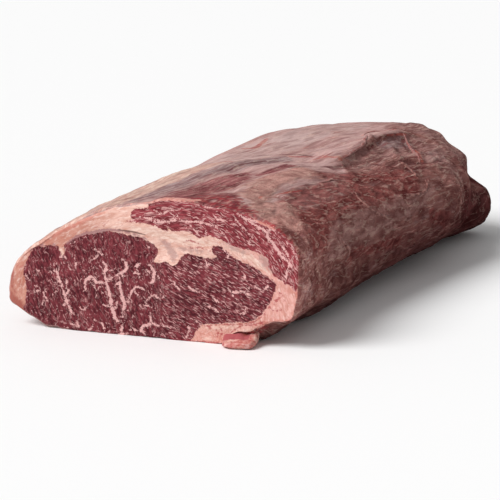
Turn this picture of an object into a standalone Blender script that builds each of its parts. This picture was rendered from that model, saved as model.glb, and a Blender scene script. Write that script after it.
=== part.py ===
"""A raw boneless beef rib roast, lying fat side up with its cut face towards -Y.

The roast is one solid. A block is divided into a grid, and the grid is drawn over six
cross-sections that stand along the roast. The ends are cut faces with rounded rims. Named
swellings then give the folds, hollows and lumps of the meat, and the underside is pressed
flat where it rests. A small flap of fat at the front right corner is joined on.

Metres, +Z up, origin at the middle of the base. X runs across the roast, Y along it.
"""

import math
from dataclasses import dataclass, fields

import bmesh
import bpy
from mathutils import Vector, noise

MM = 0.001

# Driving dimensions of the whole roast
LENGTH = 0.420
FACE_SKEW = math.tan(math.radians(4.94))
FACE_HINGE_X = 0.080
FRONT_ROUNDING = 0.0022
FAR_ROUNDING = 0.0150
PRESSED_FLAT = 0.0034
MIDDLE_X = -0.0012
FRONT_Y = -0.2070

# How finely the surface is divided
CELLS_ACROSS = 28
CELLS_UP = 14
FRONT_RINGS = 3
BODY_RINGS = 40
FAR_RINGS = 5

# Uneven swelling of soft meat
LUMP_SIZE = 0.036
LUMP_HEIGHT = 0.0015
FACE_LUMP_HEIGHT = 0.0007

# The flap of fat at the front right corner
FLAP_WIDTH = 0.042
FLAP_DEPTH = 0.032
FLAP_HEIGHT = 0.0092
FLAP_THIN_END = 0.55
FLAP_FULLNESS = 0.62
FLAP_MIDDLE = (0.0620, 0.0050)
FLAP_TURN = math.radians(5.0)
FLAP_LIFT = 0.0002

BEEF_COLOUR = (0.290, 0.110, 0.100, 1.0)
BEEF_ROUGHNESS = 0.42


@dataclass(frozen=True)
class Section:
    """One cross-section, in millimetres: its place along the roast and its outline.

    crown is where the top is highest, left and right are the widest points, and left_z
    and right_z are their heights. The last four say how square each corner is: 2 is a
    plain ellipse, and more is fuller.
    """

    at: float
    crown: float
    height: float
    left: float
    right: float
    right_z: float
    left_z: float
    top_right: float
    top_left: float
    bottom_left: float
    bottom_right: float


@dataclass(frozen=True)
class Swelling:
    """A stretch of surface pushed outwards or inwards, in millimetres.

    It follows a line from start to end. reach says how far it spreads across, along and
    up, and push is how far and which way the surface moves at the line.
    """

    name: str
    start: tuple
    end: tuple
    reach: tuple
    push: tuple


SECTIONS = (
    Section(0, 19, 102.6, -110, 108.8, 68, 28, 2.00, 1.68, 3.4, 4.0),
    Section(70, 14, 99.6, -105, 100, 64, 30, 2.10, 2.13, 3.3, 4.3),
    Section(140, 8, 102.6, -105, 101, 60, 34, 2.10, 1.99, 3.2, 3.9),
    Section(220, 0, 97.2, -101.5, 106, 56, 38, 2.20, 2.10, 3.2, 3.0),
    Section(310, -4, 98.6, -101, 110, 54, 41, 2.35, 2.38, 3.2, 2.8),
    Section(420, 9, 92, -90, 80, 47, 42, 2.75, 2.30, 3.2, 3.2),
)

SWELLINGS = (
    Swelling("valley behind the rim", (-8, 14, 98), (2, 120, 100), (17, 24, 45), (0, 0, -2.4)),
    Swelling("valley to the fold", (4, 135, 100), (27, 219, 94), (15, 22, 45), (0, 0, -2.6)),
    Swelling("fat pad", (46, 26, 95), (50, 122, 98), (26, 26, 40), (0, 0, 2.2)),
    Swelling("knob by the pad", (76, 42, 88), (77, 52, 88), (13, 14, 30), (1.2, 0, 2.0)),
    Swelling("fold ridge", (33, 222, 93), (41, 352, 94), (13, 24, 40), (0, 0, 3.2)),
    Swelling("hollow beside the fold", (58, 226, 90), (62, 338, 90), (17, 26, 40), (0, 0, -3.4)),
    Swelling("back hump", (-42, 205, 92), (-30, 335, 92), (44, 50, 50), (0, 0, 2.4)),
    Swelling("left shoulder", (-99, -6, 50), (-88, 70, 62), (30, 60, 26), (-2.4, 0, 2.2)),
    Swelling("undercut of the left tip", (-106, -8, 8), (-102, 60, 6), (26, 60, 17), (3.0, 0, 4.0)),
    Swelling("left fat roll", (-96, 130, 48), (-96, 330, 48), (30, 60, 26), (-1.6, 0, 0)),
    Swelling("side crease", (99, 60, 44), (108, 210, 34), (34, 22, 10), (-2.0, 0, 0)),
    Swelling("side roll", (99, 60, 24), (108, 230, 18), (34, 30, 14), (1.4, 0, 0)),
    Swelling("far side ridge", (117, 288, 20), (108, 304, 74), (30, 14, 20), (1.8, 0, 0)),
    Swelling("far side groove", (112, 326, 14), (98, 344, 78), (34, 14, 20), (-5.0, 0, 0)),
    Swelling("far lump", (74, 396, 8), (76, 400, 24), (48, 58, 34), (14, 14, 0)),
    Swelling("far hollow", (20, 420, 52), (34, 420, 60), (34, 30, 26), (0, -4.0, 0)),
    Swelling("left lean of the face", (-66, 0, 36), (-28, 0, 46), (44, 12, 32), (0, -1.8, 0)),
    Swelling("right lean of the face", (18, 0, 40), (50, 0, 34), (38, 12, 26), (0, -1.6, 0)),
    Swelling("cap lean of the face", (-4, 0, 87), (70, 0, 80), (24, 12, 12), (0, -1.1, 0)),
    Swelling("fat seam of the face", (-30, 0, 72), (68, 0, 55), (30, 12, 10), (0, 1.3, 0)),
)


def smooth_falloff(distance):
    """1 at the middle of a swelling, 0 from a distance of 1 outwards."""
    if distance >= 1.0:
        return 0.0
    return (1.0 - distance * distance) ** 2


def slopes(places, values):
    """Slope of a row of values at each of its places, from its neighbours."""
    result = []
    last = len(places) - 1
    for index in range(len(places)):
        before = max(index - 1, 0)
        after = min(index + 1, last)
        result.append((values[after] - values[before]) / (places[after] - places[before]))
    return result


def blended(values, place):
    """Value at a place along the roast, on a smooth curve through one value a section."""
    places = [section.at for section in SECTIONS]
    tangents = slopes(places, values)
    span = 0
    while span < len(places) - 2 and place > places[span + 1]:
        span += 1
    width = places[span + 1] - places[span]
    t = (place - places[span]) / width
    rise = t * t * (3.0 - 2.0 * t)
    leave = t * (1.0 - t) ** 2 * width
    arrive = t * t * (t - 1.0) * width
    level = values[span] + (values[span + 1] - values[span]) * rise
    return level + tangents[span] * leave + tangents[span + 1] * arrive


def section_at(place):
    """The cross-section at any place along the roast, in millimetres."""
    names = [field.name for field in fields(Section)]
    numbers = {}
    for name in names:
        row = [getattr(section, name) for section in SECTIONS]
        numbers[name] = blended(row, place)
    return Section(**numbers)


def outline_point(section, angle, inset):
    """A point of a cross-section, and its outward direction.

    angle is 0 at the right and a quarter turn at the top. inset draws the outline in.
    """
    across = math.cos(angle)
    up = math.sin(angle)
    if up >= 0.0:
        square = section.top_right if across >= 0.0 else section.top_left
    else:
        square = section.bottom_right if across >= 0.0 else section.bottom_left
    radius = (abs(across) ** square + abs(up) ** square) ** (-1.0 / square)
    width = section.right - section.crown if across >= 0.0 else section.crown - section.left
    middle_z = section.right_z if across >= 0.0 else section.left_z
    half = section.height - middle_z if up >= 0.0 else middle_z
    x = section.crown + (width - inset) * across * radius
    z = middle_z + (half - inset) * up * radius
    outward = Vector((across / width, 0.0, up / half)).normalized()
    return Vector((x, 0.0, z)), outward


def ring_places():
    """Place along the roast and inset of each ring of the grid, front to far end."""
    rings = []
    for index in range(FRONT_RINGS):
        turn = 0.5 * math.pi * index / FRONT_RINGS
        place = FRONT_ROUNDING * (1.0 - math.cos(turn))
        rings.append((place, FRONT_ROUNDING * (1.0 - math.sin(turn))))
    for index in range(BODY_RINGS + 1):
        body = LENGTH - FRONT_ROUNDING - FAR_ROUNDING
        rings.append((FRONT_ROUNDING + body * index / BODY_RINGS, 0.0))
    for index in range(1, FAR_RINGS + 1):
        turn = 0.5 * math.pi * index / FAR_RINGS
        place = LENGTH - FAR_ROUNDING * (1.0 - math.sin(turn))
        rings.append((place, FAR_ROUNDING * (1.0 - math.cos(turn))))
    return rings


def rim_angle(across, up):
    """Angle on the outline of a point on the rim of the grid's unit square."""
    eighth = 0.25 * math.pi
    if up >= 1.0:
        return 2.0 * eighth - across * eighth
    if up <= -1.0:
        return -2.0 * eighth + across * eighth
    if across >= 1.0:
        return up * eighth
    return 4.0 * eighth - up * eighth


def end_point(section, across, up, inset):
    """A point inside an end face, spread evenly between the four sides of its rim."""

    def rim(a, b):
        return outline_point(section, rim_angle(a, b), inset)[0]

    right = 0.5 * (1.0 + across)
    top = 0.5 * (1.0 + up)
    between_sides = rim(-1.0, up) * (1.0 - right) + rim(1.0, up) * right
    between_ends = rim(across, -1.0) * (1.0 - top) + rim(across, 1.0) * top
    low = rim(-1.0, -1.0) * (1.0 - right) + rim(1.0, -1.0) * right
    high = rim(-1.0, 1.0) * (1.0 - right) + rim(1.0, 1.0) * right
    return between_sides + between_ends - (low * (1.0 - top) + high * top)


def swollen(point):
    """How far all the named swellings move a point, everything in millimetres."""
    move = Vector((0.0, 0.0, 0.0))
    for swelling in SWELLINGS:
        reach = Vector(swelling.reach)
        start = Vector([a / b for a, b in zip(swelling.start, reach)])
        end = Vector([a / b for a, b in zip(swelling.end, reach)])
        here = Vector([a / b for a, b in zip(point, reach)])
        line = end - start
        share = max(0.0, min(1.0, (here - start).dot(line) / line.length_squared))
        weight = smooth_falloff((here - start - line * share).length)
        move += Vector(swelling.push) * weight
    return move


def shaped(point, outward, lump_height):
    """Place in metres of a point of the plain form, with all its relief."""
    lump = noise.noise(point * (MM / LUMP_SIZE))
    relief = swollen(point) + outward * (lump * lump_height / MM)
    place = (point + relief) * MM
    skew = FACE_SKEW * (point.x * MM - FACE_HINGE_X) * (1.0 - point.y * MM / LENGTH)
    x = place.x + MIDDLE_X
    y = place.y + skew + FRONT_Y
    z = max(0.0, place.z - PRESSED_FLAT)
    return Vector((x, y, z))


def divided_block():
    """A cube of half-size 1, divided into the cells of the grid."""
    grid = bmesh.new()
    bmesh.ops.create_cube(grid, size=2.0)
    rings = FRONT_RINGS + BODY_RINGS + FAR_RINGS
    for axis, cells in enumerate((CELLS_ACROSS, rings, CELLS_UP)):
        edges = []
        for edge in grid.edges:
            run = edge.verts[1].co - edge.verts[0].co
            if abs(run[axis]) > 0.5 * run.length:
                edges.append(edge)
        bmesh.ops.subdivide_edges(grid, edges=edges, cuts=cells - 1, use_grid_fill=True)
    return grid


def roast_form():
    """The mesh of the roast, without its flap."""
    grid = divided_block()
    rings = ring_places()
    sections = [section_at(place / MM) for place, inset in rings]
    last = len(rings) - 1
    for vert in grid.verts:
        across, along, up = [round(value, 5) for value in vert.co]
        ring = round(0.5 * (along + 1.0) * last)
        place, inset = rings[ring]
        section = sections[ring]
        at_rim = max(abs(across), abs(up)) >= 1.0
        if at_rim:
            point, outward = outline_point(section, rim_angle(across, up), inset / MM)
            lump_height = LUMP_HEIGHT
        else:
            point = end_point(section, across, up, inset / MM)
            outward = Vector((0.0, along, 0.0))
            lump_height = FACE_LUMP_HEIGHT
        point.y = place / MM
        vert.co = shaped(point, outward, lump_height)
    bmesh.ops.recalc_face_normals(grid, faces=grid.faces)
    mesh = bpy.data.meshes.new("rib_roast")
    grid.to_mesh(mesh)
    grid.free()
    mesh.shade_smooth()
    return mesh


def beef_material():
    """Plain finish of raw beef."""
    material = bpy.data.materials.new("raw_beef")
    material.use_nodes = True
    shader = material.node_tree.nodes["Principled BSDF"]
    shader.inputs["Base Color"].default_value = BEEF_COLOUR
    shader.inputs["Roughness"].default_value = BEEF_ROUGHNESS
    shader.inputs["Metallic"].default_value = 0.0
    return material


def new_collection(name):
    """A collection in the scene."""
    collection = bpy.data.collections.new(name)
    bpy.context.scene.collection.children.link(collection)
    return collection


def add_flap(collection):
    """The flap of fat, a tongue that thins out to the left, as a guide for the union."""
    tongue = bmesh.new()
    bmesh.ops.create_uvsphere(tongue, u_segments=24, v_segments=10, radius=1.0)
    for vert in tongue.verts:
        fuller = [math.copysign(abs(value) ** FLAP_FULLNESS, value) for value in vert.co]
        thickness = FLAP_THIN_END + (1.0 - FLAP_THIN_END) * 0.5 * (1.0 + fuller[0])
        x = 0.5 * FLAP_WIDTH * fuller[0]
        y = 0.5 * FLAP_DEPTH * fuller[1]
        z = 0.5 * FLAP_HEIGHT * (1.0 + fuller[2]) * thickness
        vert.co = (x, y, z)
    mesh = bpy.data.meshes.new("flap_guide")
    tongue.to_mesh(mesh)
    tongue.free()
    flap = bpy.data.objects.new("flap_guide", mesh)
    flap.location = (FLAP_MIDDLE[0] + MIDDLE_X, FLAP_MIDDLE[1] + FRONT_Y, FLAP_LIFT)
    flap.rotation_euler = (0.0, 0.0, FLAP_TURN)
    flap.hide_render = True
    flap.display_type = "WIRE"
    collection.objects.link(flap)
    return flap


def main():
    for old in list(bpy.data.objects):
        bpy.data.objects.remove(old, do_unlink=True)
    pieces = new_collection("raw_beef_rib_roast")
    guides = new_collection("guides")
    mesh = roast_form()
    mesh.materials.append(beef_material())
    roast = bpy.data.objects.new("rib_roast", mesh)
    pieces.objects.link(roast)
    joined = roast.modifiers.new("join_flap", "BOOLEAN")
    joined.operation = "UNION"
    joined.object = add_flap(guides)


main()
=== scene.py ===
"""Looks of a raw boneless beef rib roast, laid out as a Blender add-on.

The roast's form is drawn from nearly the same cross-sections and swellings as its solid, on a
finer grid. Its cut face then gets the muscles, seams and veins that show, and its outside
gets skin, fat and bare meat. Lengths in the tables are millimetres, measured from the middle
of the roast, the cut face and the table.
"""

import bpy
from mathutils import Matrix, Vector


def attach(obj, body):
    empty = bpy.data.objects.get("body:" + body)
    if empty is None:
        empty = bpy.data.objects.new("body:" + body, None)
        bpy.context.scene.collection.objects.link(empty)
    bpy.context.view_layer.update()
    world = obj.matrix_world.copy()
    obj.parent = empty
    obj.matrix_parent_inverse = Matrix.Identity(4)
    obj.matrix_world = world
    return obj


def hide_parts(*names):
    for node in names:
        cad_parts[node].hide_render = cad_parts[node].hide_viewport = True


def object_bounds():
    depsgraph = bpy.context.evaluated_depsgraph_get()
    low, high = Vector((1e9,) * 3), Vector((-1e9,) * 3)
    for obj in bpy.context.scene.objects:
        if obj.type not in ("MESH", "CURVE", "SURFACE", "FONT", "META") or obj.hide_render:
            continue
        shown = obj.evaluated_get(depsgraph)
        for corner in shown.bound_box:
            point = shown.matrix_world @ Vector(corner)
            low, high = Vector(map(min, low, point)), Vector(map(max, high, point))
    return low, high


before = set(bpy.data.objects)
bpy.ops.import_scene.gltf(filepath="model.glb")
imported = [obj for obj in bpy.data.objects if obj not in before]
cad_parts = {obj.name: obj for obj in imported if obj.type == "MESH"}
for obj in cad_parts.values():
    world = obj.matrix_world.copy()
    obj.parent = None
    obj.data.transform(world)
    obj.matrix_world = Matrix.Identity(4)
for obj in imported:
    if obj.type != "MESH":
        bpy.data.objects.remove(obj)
CAD_BOX = [list(corner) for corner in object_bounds()]

import math

import bmesh
import bpy
import numpy as np
from bpy.props import FloatProperty, FloatVectorProperty, IntProperty, PointerProperty
from mathutils import Vector, noise
from mathutils.bvhtree import BVHTree

bl_info = {
    "name": "Raw Beef Rib Roast",
    "version": (1, 0, 0),
    "blender": (4, 5, 0),
    "location": "View3D > Sidebar > Roast",
    "description": "Builds a marbled raw rib roast and a plain table with soft light",
    "category": "Add Mesh",
}

MM = 0.001
FAR_AWAY = 1.0e6
NOWHERE = (0.0, 0.0, 0.0)
WHITE = (1.0, 1.0, 1.0, 1.0)

# Distance in millimetres that stands for no line near, and for deep outside an outline
NO_LINE = 20.0

# Layout of the nodes: how many stand side by side, and the step across and down
NODE_COLUMNS = 12
NODE_STEP = (180.0, -220.0)

# Tints of painted shade, darkening the outside towards the table, and of painted light, lightening it
# near the cut face
LOW_SHADE = (0.46, 0.38, 0.40, 1.0)
NEAR_LIGHT = (1.5, 1.45, 1.45, 1.0)

# How deep the painted shade of the lower part is at places along the roast
SHADE_STOPS = (40.0, 110.0, 175.0, 240.0, 300.0, 350.0)
SHADE_DEPTHS = (0.1, 1.1, 1.45, 2.0, 2.0, 1.6)

# Where the fold between the pale top and the side runs: along, then across
FOLD_ALONG = (150.0, 220.0, 255.0, 296.0, 334.0, 350.0)
FOLD_ACROSS = (66.0, 44.0, 41.0, 37.0, 43.0, 42.0)

# Scale across and up that fits the front's marks to the smaller far end, mirrored
FAR_FACE_SCALE = (-1.22, 1.11)

# How much noise and streaks fray the marks of the skin, soft ones and sharp ones
SHARPEST_SOFT_MARK = 0.13
SOFT_MARK = (1.1, 1.1)
SHARP_MARK = (0.45, 0.3)

# Power that turns the flap's sphere into a block with rounded edges
FLAP_SQUARENESS = 0.62

# Layers of noise: height, spacing and offset of each, in millimetres
RIM_WAVES = ((1.1, 11.0, 2.3), (0.6, 4.6, 6.1))
LIFT_WAVES = ((2.2, 12.0, 4.4), (1.2, 5.0, 7.9))
GRAIN_WAVES = ((0.32, 8.0, 3.1), (0.14, 3.6, 9.7))
CREAM_WAVES = ((0.8, 9.0, 4.7), (0.5, 4.4, 8.1))

# The grid's cube ends at -1 and 1; places this far out lie on its front
ON_FRONT = -0.99999

# How even the rings along the body are: below 1 they stand closer near the cut face
RING_EVENNESS = 0.72

# Cross-sections along the roast: place, crown, height, left, right, height of the widest
# point right and left, and how square the corners are: top right, top left, bottom left,
# bottom right
SECTIONS = np.array((
    (0, 19, 102.6, -110, 108.8, 68, 28, 2.00, 1.68, 3.4, 3.8),
    (70, 14, 99.6, -105, 100, 64, 30, 2.10, 2.13, 3.3, 3.9),
    (140, 8, 102.6, -105, 101, 60, 34, 2.10, 1.99, 3.2, 3.2),
    (220, 0, 97.2, -101.5, 106, 56, 38, 2.20, 2.10, 3.2, 2.55),
    (310, -4, 98.6, -101, 110, 54, 41, 2.35, 2.38, 3.2, 2.45),
    (420, 9, 92, -90, 80, 47, 42, 2.75, 2.30, 3.2, 3.2),
))

# Swellings: start, end, reach across, along and up, and push
SWELLINGS = (
    ((-8, 14, 98), (2, 120, 100), (17, 24, 45), (0, 0, -2.4)),
    ((4, 135, 100), (27, 219, 94), (15, 22, 45), (0, 0, -2.6)),
    ((46, 26, 95), (50, 122, 98), (26, 26, 40), (0, 0, 2.2)),
    ((76, 42, 88), (77, 52, 88), (13, 14, 30), (1.2, 0, 2.0)),
    ((33, 222, 93), (41, 352, 94), (13, 24, 40), (0, 0, 3.2)),
    ((58, 226, 90), (62, 338, 90), (17, 26, 40), (0, 0, -3.4)),
    ((-42, 205, 92), (-30, 335, 92), (44, 50, 50), (0, 0, 2.4)),
    ((-99, -6, 50), (-88, 70, 62), (30, 60, 26), (-2.4, 0, 2.2)),
    ((-106, -8, 8), (-102, 60, 6), (26, 60, 17), (3.0, 0, 4.0)),
    ((-96, 130, 48), (-96, 330, 48), (30, 60, 26), (-1.6, 0, 0)),
    ((99, 60, 44), (108, 210, 34), (34, 22, 10), (-2.0, 0, 0)),
    ((99, 60, 24), (108, 230, 18), (34, 30, 14), (1.4, 0, 0)),
    ((117, 288, 20), (108, 304, 74), (30, 14, 20), (1.8, 0, 0)),
    ((112, 326, 14), (98, 344, 78), (34, 14, 20), (-5.0, 0, 0)),
    ((74, 396, 8), (76, 400, 24), (48, 58, 34), (14, 14, 0)),
    ((20, 420, 52), (34, 420, 60), (34, 30, 26), (0, -4.0, 0)),
    ((-66, 0, 36), (-28, 0, 46), (44, 12, 32), (0, -1.8, 0)),
    ((18, 0, 40), (50, 0, 34), (38, 12, 26), (0, -1.6, 0)),
    ((-4, 0, 87), (70, 0, 80), (24, 12, 12), (0, -1.1, 0)),
    ((-30, 0, 72), (68, 0, 55), (30, 12, 10), (0, 1.3, 0)),
    ((66, 0, 0), (93, 0, 8), (16, 26, 26), (-2, 0, 9)),
    ((94, 14, 6), (92, 60, 6), (24, 36, 22), (-8, 0, 2)),
    ((88, 402, 38), (90, 410, 46), (24, 30, 14), (1.5, 1, 3)),
    ((88, 404, 4), (88, 412, 14), (24, 34, 18), (1, 2, -5)),
    ((92, 392, 60), (94, 404, 62), (24, 34, 14), (-6, -2, -4)),
    ((90, 408, 52), (92, 408, 50), (20, 24, 11), (-5, -1, -2)),
    ((70, 404, 82), (84, 390, 74), (22, 26, 13), (-3.6, -1, -2.4)),
    ((24, 408, 92), (44, 404, 90), (26, 30, 14), (2.0, 2.0, 1.0)),
    ((-50, 232, 94), (-46, 288, 96), (34, 50, 40), (0, 0, 2.2)),
    ((-46, 30, 87), (-42, 125, 91), (20, 40, 30), (0, 0, 1.5)),
)

# Outline of the two joined rib-eye muscles on the cut face, across and up
LEAN_OUTLINE = (
    (-97, 41), (-92, 53), (-88, 58), (-80, 59), (-71, 60.5), (-69, 57), (-67, 54), (-65, 57),
    (-65, 61), (-58, 66), (-51, 69), (-43, 71), (-35, 73), (-26, 73), (-18, 72), (-10, 71),
    (-3, 69), (2, 66), (5, 63), (4, 59), (2, 55), (6, 54), (11, 55), (15, 53), (19, 54),
    (22, 59), (26, 62), (32, 61), (38, 60), (43, 60), (48, 61), (46, 64), (45, 67), (48, 69),
    (52, 69), (57, 65), (61, 62), (67, 59), (72, 58), (77, 55), (83, 51), (88, 49), (91, 46),
    (91, 42), (89, 37), (86, 31), (82, 25), (78, 21), (73, 18), (66, 17), (59, 16), (52, 15),
    (45, 14), (39, 13), (36, 11), (33, 7), (30, 1), (26, -6), (-12, -6), (-50, -5), (-66, -4),
    (-76, -2), (-86, 3), (-93, 8), (-98, 12), (-96, 18), (-95, 26), (-96, 33),
)

# Outline of the cap muscle above them
CAP_OUTLINE = (
    (-19, 81), (-13, 84), (-15, 86), (-12, 91), (-3, 92), (-1, 96), (9, 98), (21, 99),
    (34, 98), (43, 100), (52, 100), (61, 97), (69, 95), (77, 89), (85, 85), (90, 84),
    (95, 87), (99, 83), (105, 77), (109, 71), (110, 65), (109, 57), (108, 50), (106, 42),
    (102, 45), (97, 47), (92, 50), (88, 53), (86, 58), (85, 63), (80, 66), (71, 68),
    (65, 69), (58, 71), (54, 73), (50, 74), (45, 76), (40, 75), (36, 74), (30, 77), (25, 78),
    (20, 77), (16, 77), (13, 80), (13, 77), (10, 77), (7, 79), (-3, 81), (-10, 81),
)

# Veins of fat in the rib eye: half width at the middle, then the line
VEINS = (
    (0.7, ((-75, 40), (-74, 42), (-71, 42), (-69, 37), (-66, 31), (-65, 26))),
    (1.0, ((-66, 31), (-65, 26), (-63, 20), (-61, 15), (-61, 9))),
    (0.45, ((-72, 32), (-68, 32), (-65, 30))),
    (0.45, ((-64, 38), (-63, 35), (-64, 29))),
    (0.8, ((-36, 52), (-33, 49), (-34, 44), (-33, 37), (-31, 30))),
    (1.3, ((-34, 44), (-33, 37), (-31, 30), (-30, 23), (-29, 18), (-28, 13), (-26, 10), (-23, 10))),
    (0.45, ((-34, 44), (-32, 46), (-28, 46))),
    (1.1, ((-33, 37), (-37, 37), (-41, 37), (-43, 40), (-47, 39), (-49, 37), (-49, 31))),
    (0.9, ((-21, 55), (-18, 52), (-18, 48), (-23, 44), (-27, 42))),
    (0.6, ((-23, 44), (-19, 43))),
    (1.2, ((-23, 42), (-23, 38), (-22, 32), (-21, 26), (-20, 22), (-21, 18), (-22, 13))),
    (0.8, ((-18, 24), (-15, 30), (-12, 35), (-8, 36), (-4, 34))),
    (0.8, ((-12, 49), (-7, 53))),
    (0.5, ((-13, 45), (-10, 46), (-8, 43))),
    (1.1, ((-1, 52), (2, 49), (3, 45), (2, 41), (0, 39))),
    (0.6, ((-3, 49), (0, 46))),
    (0.5, ((-43, 60), (-38, 58), (-36, 56))),
    (0.5, ((-46, 51), (-43, 53), (-39, 56))),
    (0.4, ((-57, 53), (-56, 45))),
    (0.55, ((-82, 29), (-81, 24), (-78, 20))),
    (0.6, ((-89, 25), (-85, 27))),
    (0.45, ((-81, 24), (-82, 19), (-86, 15))),
    (0.6, ((-54, 18), (-51, 16), (-47, 21))),
    (0.6, ((-6, 23), (0, 22))),
    (0.7, ((-4, 25), (0, 30), (5, 31))),
    (0.8, ((-1, 18), (-1, 15), (0, 10))),
    (1.0, ((5, 9), (0, 10), (-7, 7), (-8, 4), (-5, 2))),
    (1.3, ((-23, 7), (-23, 2))),
    (0.9, ((-27, 0), (-18, 1))),
    (0.5, ((-17, 8), (-14, 5), (-11, 4))),
    (0.8, ((-61, 5), (-56, 3), (-56, 8))),
    (0.5, ((-96, 38), (-92, 33))),
    (0.45, ((-69, 52), (-65, 53), (-63, 51))),
    (0.45, ((-43, 9), (-38, 7), (-36, 4), (-37, 0))),
    (0.5, ((-49, 0), (-45, 4))),
    (0.6, ((28, 39), (33, 37), (37, 36))),
    (0.5, ((46, 33), (49, 31), (53, 29))),
    (0.7, ((57, 40), (60, 38), (66, 38), (70, 38), (74, 36))),
    (0.6, ((65, 46), (68, 47), (68, 50))),
    (0.6, ((75, 43), (78, 42), (82, 40), (85, 43), (86, 45))),
    (0.6, ((42, 27), (45, 26), (50, 23))),
    (0.5, ((17, 42), (20, 38), (23, 36))),
    (0.7, ((40, 58), (41, 55), (44, 56))),
    (0.5, ((53, 67), (57, 64), (56, 61))),
    (0.55, ((63, 25), (67, 23), (70, 25), (70, 28))),
    (0.5, ((32, 16), (37, 12))),
    (0.45, ((-1, 30), (3, 30), (7, 29), (11, 31))),
    (0.5, ((7, 11), (10, 9), (14, 10), (18, 8))),
    (0.45, ((25, 1), (28, 8), (27, 11))),
    (0.4, ((-70, 35), (-73, 34), (-75, 36))),
    (0.4, ((-65, 26), (-62, 28), (-60, 31))),
    (0.4, ((-63, 20), (-66, 18), (-68, 19))),
    (0.4, ((-33, 37), (-30, 39), (-28, 42))),
    (0.4, ((-30, 23), (-33, 20), (-36, 21))),
    (0.4, ((-28, 18), (-26, 20), (-25, 24))),
    (0.4, ((-41, 37), (-42, 34), (-41, 31))),
    (0.4, ((-23, 38), (-26, 36), (-27, 33))),
    (0.4, ((-21, 26), (-18, 24), (-16, 25))),
    (0.4, ((-12, 35), (-11, 31), (-8, 29))),
    (0.4, ((2, 45), (5, 45), (7, 43))),
    (0.4, ((60, 38), (61, 35), (64, 33))),
    (0.4, ((70, 38), (72, 41), (73, 44))),
)

# Lines of fat in the cap muscle
CAP_LINES = (
    (0.7, ((-15, 82), (-8, 85), (-2, 85), (4, 83), (13, 84), (16, 86), (19, 87), (15, 90))),
    (0.7, ((18, 91), (22, 86), (28, 85), (36, 85), (43, 84), (49, 82), (54, 78), (58, 72))),
    (0.8, ((21, 86), (15, 84), (9, 83), (4, 85), (-1, 85))),
    (0.5, ((38, 96), (46, 96), (54, 95))),
    (0.9, ((63, 93), (69, 90), (73, 89), (80, 88), (84, 89))),
    (1.2, ((69, 90), (76, 86), (84, 82), (86, 78), (92, 70), (96, 65), (101, 61), (104, 56))),
    (0.8, ((84, 83), (90, 84), (95, 87))),
    (0.6, ((98, 77), (103, 71), (107, 64))),
    (0.8, ((94, 75), (99, 68), (102, 61))),
    (0.6, ((46, 91), (49, 88), (55, 87))),
    (0.6, ((25, 82), (30, 77), (33, 74))),
    (0.5, ((29, 83), (34, 78), (37, 75))),
    (0.5, ((41, 80), (42, 76))),
    (0.6, ((75, 79), (72, 73), (75, 72))),
    (0.5, ((60, 92), (66, 85), (73, 79))),
    (0.8, ((101, 61), (99, 54), (98, 49))),
    (0.6, ((1, 91), (9, 89), (15, 92), (19, 90))),
)

# Other marks on the cut face: half width, then the line
GREY_MARKS = (
    (2.8, ((8, 70), (12, 66), (16, 60), (16, 56))),
    (1.2, ((19, 65), (30, 65), (38, 64))),
    (1.4, ((54, 72), (65, 67), (71, 66))),
    (2.6, ((80, 65), (84, 60), (86, 55))),
)
# The seam line is grey film with painted shade along the top of the rib eye
SEAM_FILM_AND_SHADE_LINES = (
    (
        1.1,
        ((-64, 62), (-58, 66.5), (-51, 70), (-43, 72), (-35, 74), (-26, 74.5), (-14, 73), (-3, 70)),
    ),
    (0.5, ((-92, 54), (-88, 59), (-80, 60), (-72, 61))),
)
# Painted shade low on the left edge and its toe
TOE_SHADE_MARKS = (
    (4.5, ((-110, 24), (-105, 17), (-100, 12), (-95, 8))),
    (1.4, ((-109, 46), (-106, 38), (-107, 30), (-104, 24))),
)
# Pale fat of the seams; the lines low on the right, near the table, are painted light
PALE_FAT_AND_PAINTED_LIGHT = (
    (3.0, ((-12, 77), (0, 75), (14, 73), (26, 71), (38, 70), (46, 70))),
    (2.2, ((56, 69), (66, 65), (74, 62), (80, 57), (86, 53))),
    (1.2, ((44, 10), (58, 13), (70, 16), (80, 20))),
    (1.6, ((56, 7), (66, 10), (76, 12), (88, 17))),
    (1.5, ((-68.5, 58), (-67, 55))),
    (0.8, ((38, 3), (46, 3))),
)
PEACH_LINES = ((1.2, ((-102, 48), (-76, 66), (-56, 77), (-40, 85), (-29, 92), (-10, 98))),)
# Painted shade in the gap along the seam
SEAM_GAP_SHADES = ((0.55, ((-25, 75), (-14, 74.5), (-4, 73))),)
RAW_MARKS = (
    (0.5, ((39, 12), (46, 10), (49, 9), (48, 5))),
    (0.45, ((24, 70), (30, 71.5), (37, 69))),
    (0.4, ((28, 66), (36, 67), (44, 65))),
    (0.5, ((38, 12), (50, 14), (62, 15), (74, 17.5), (82, 23), (88, 32))),
    (0.4, ((62, 3), (64, 8), (63, 13))),
    (0.4, ((86, 12), (82, 16), (80, 20))),
    (0.4, ((97, 29), (91, 27), (87, 30))),
    (0.4, ((50, 4), (52, 9), (50, 13))),
    (0.45, ((59, 9), (64, 13), (70, 16))),
    (0.6, ((68, 15), (75, 16), (83, 19))),
    (0.5, ((93, 41), (96, 38), (90, 34))),
    (0.5, ((94, 38), (90, 31))),
    (1.2, ((36, 102), (51, 103), (57, 102), (65, 99), (71, 96))),
)

# Each list of marks on the cut face becomes the mask that it is named for
FACE_LINES = {
    "vein": VEINS,
    "cap_line": CAP_LINES,
    "grey_mark": GREY_MARKS,
    "raw_mark": RAW_MARKS,
    "seam_line": SEAM_FILM_AND_SHADE_LINES,
    "toe_mark": TOE_SHADE_MARKS,
    "dark_gap": SEAM_GAP_SHADES,
    "pale_fat": PALE_FAT_AND_PAINTED_LIGHT,
    "peach_line": PEACH_LINES,
}

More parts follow.
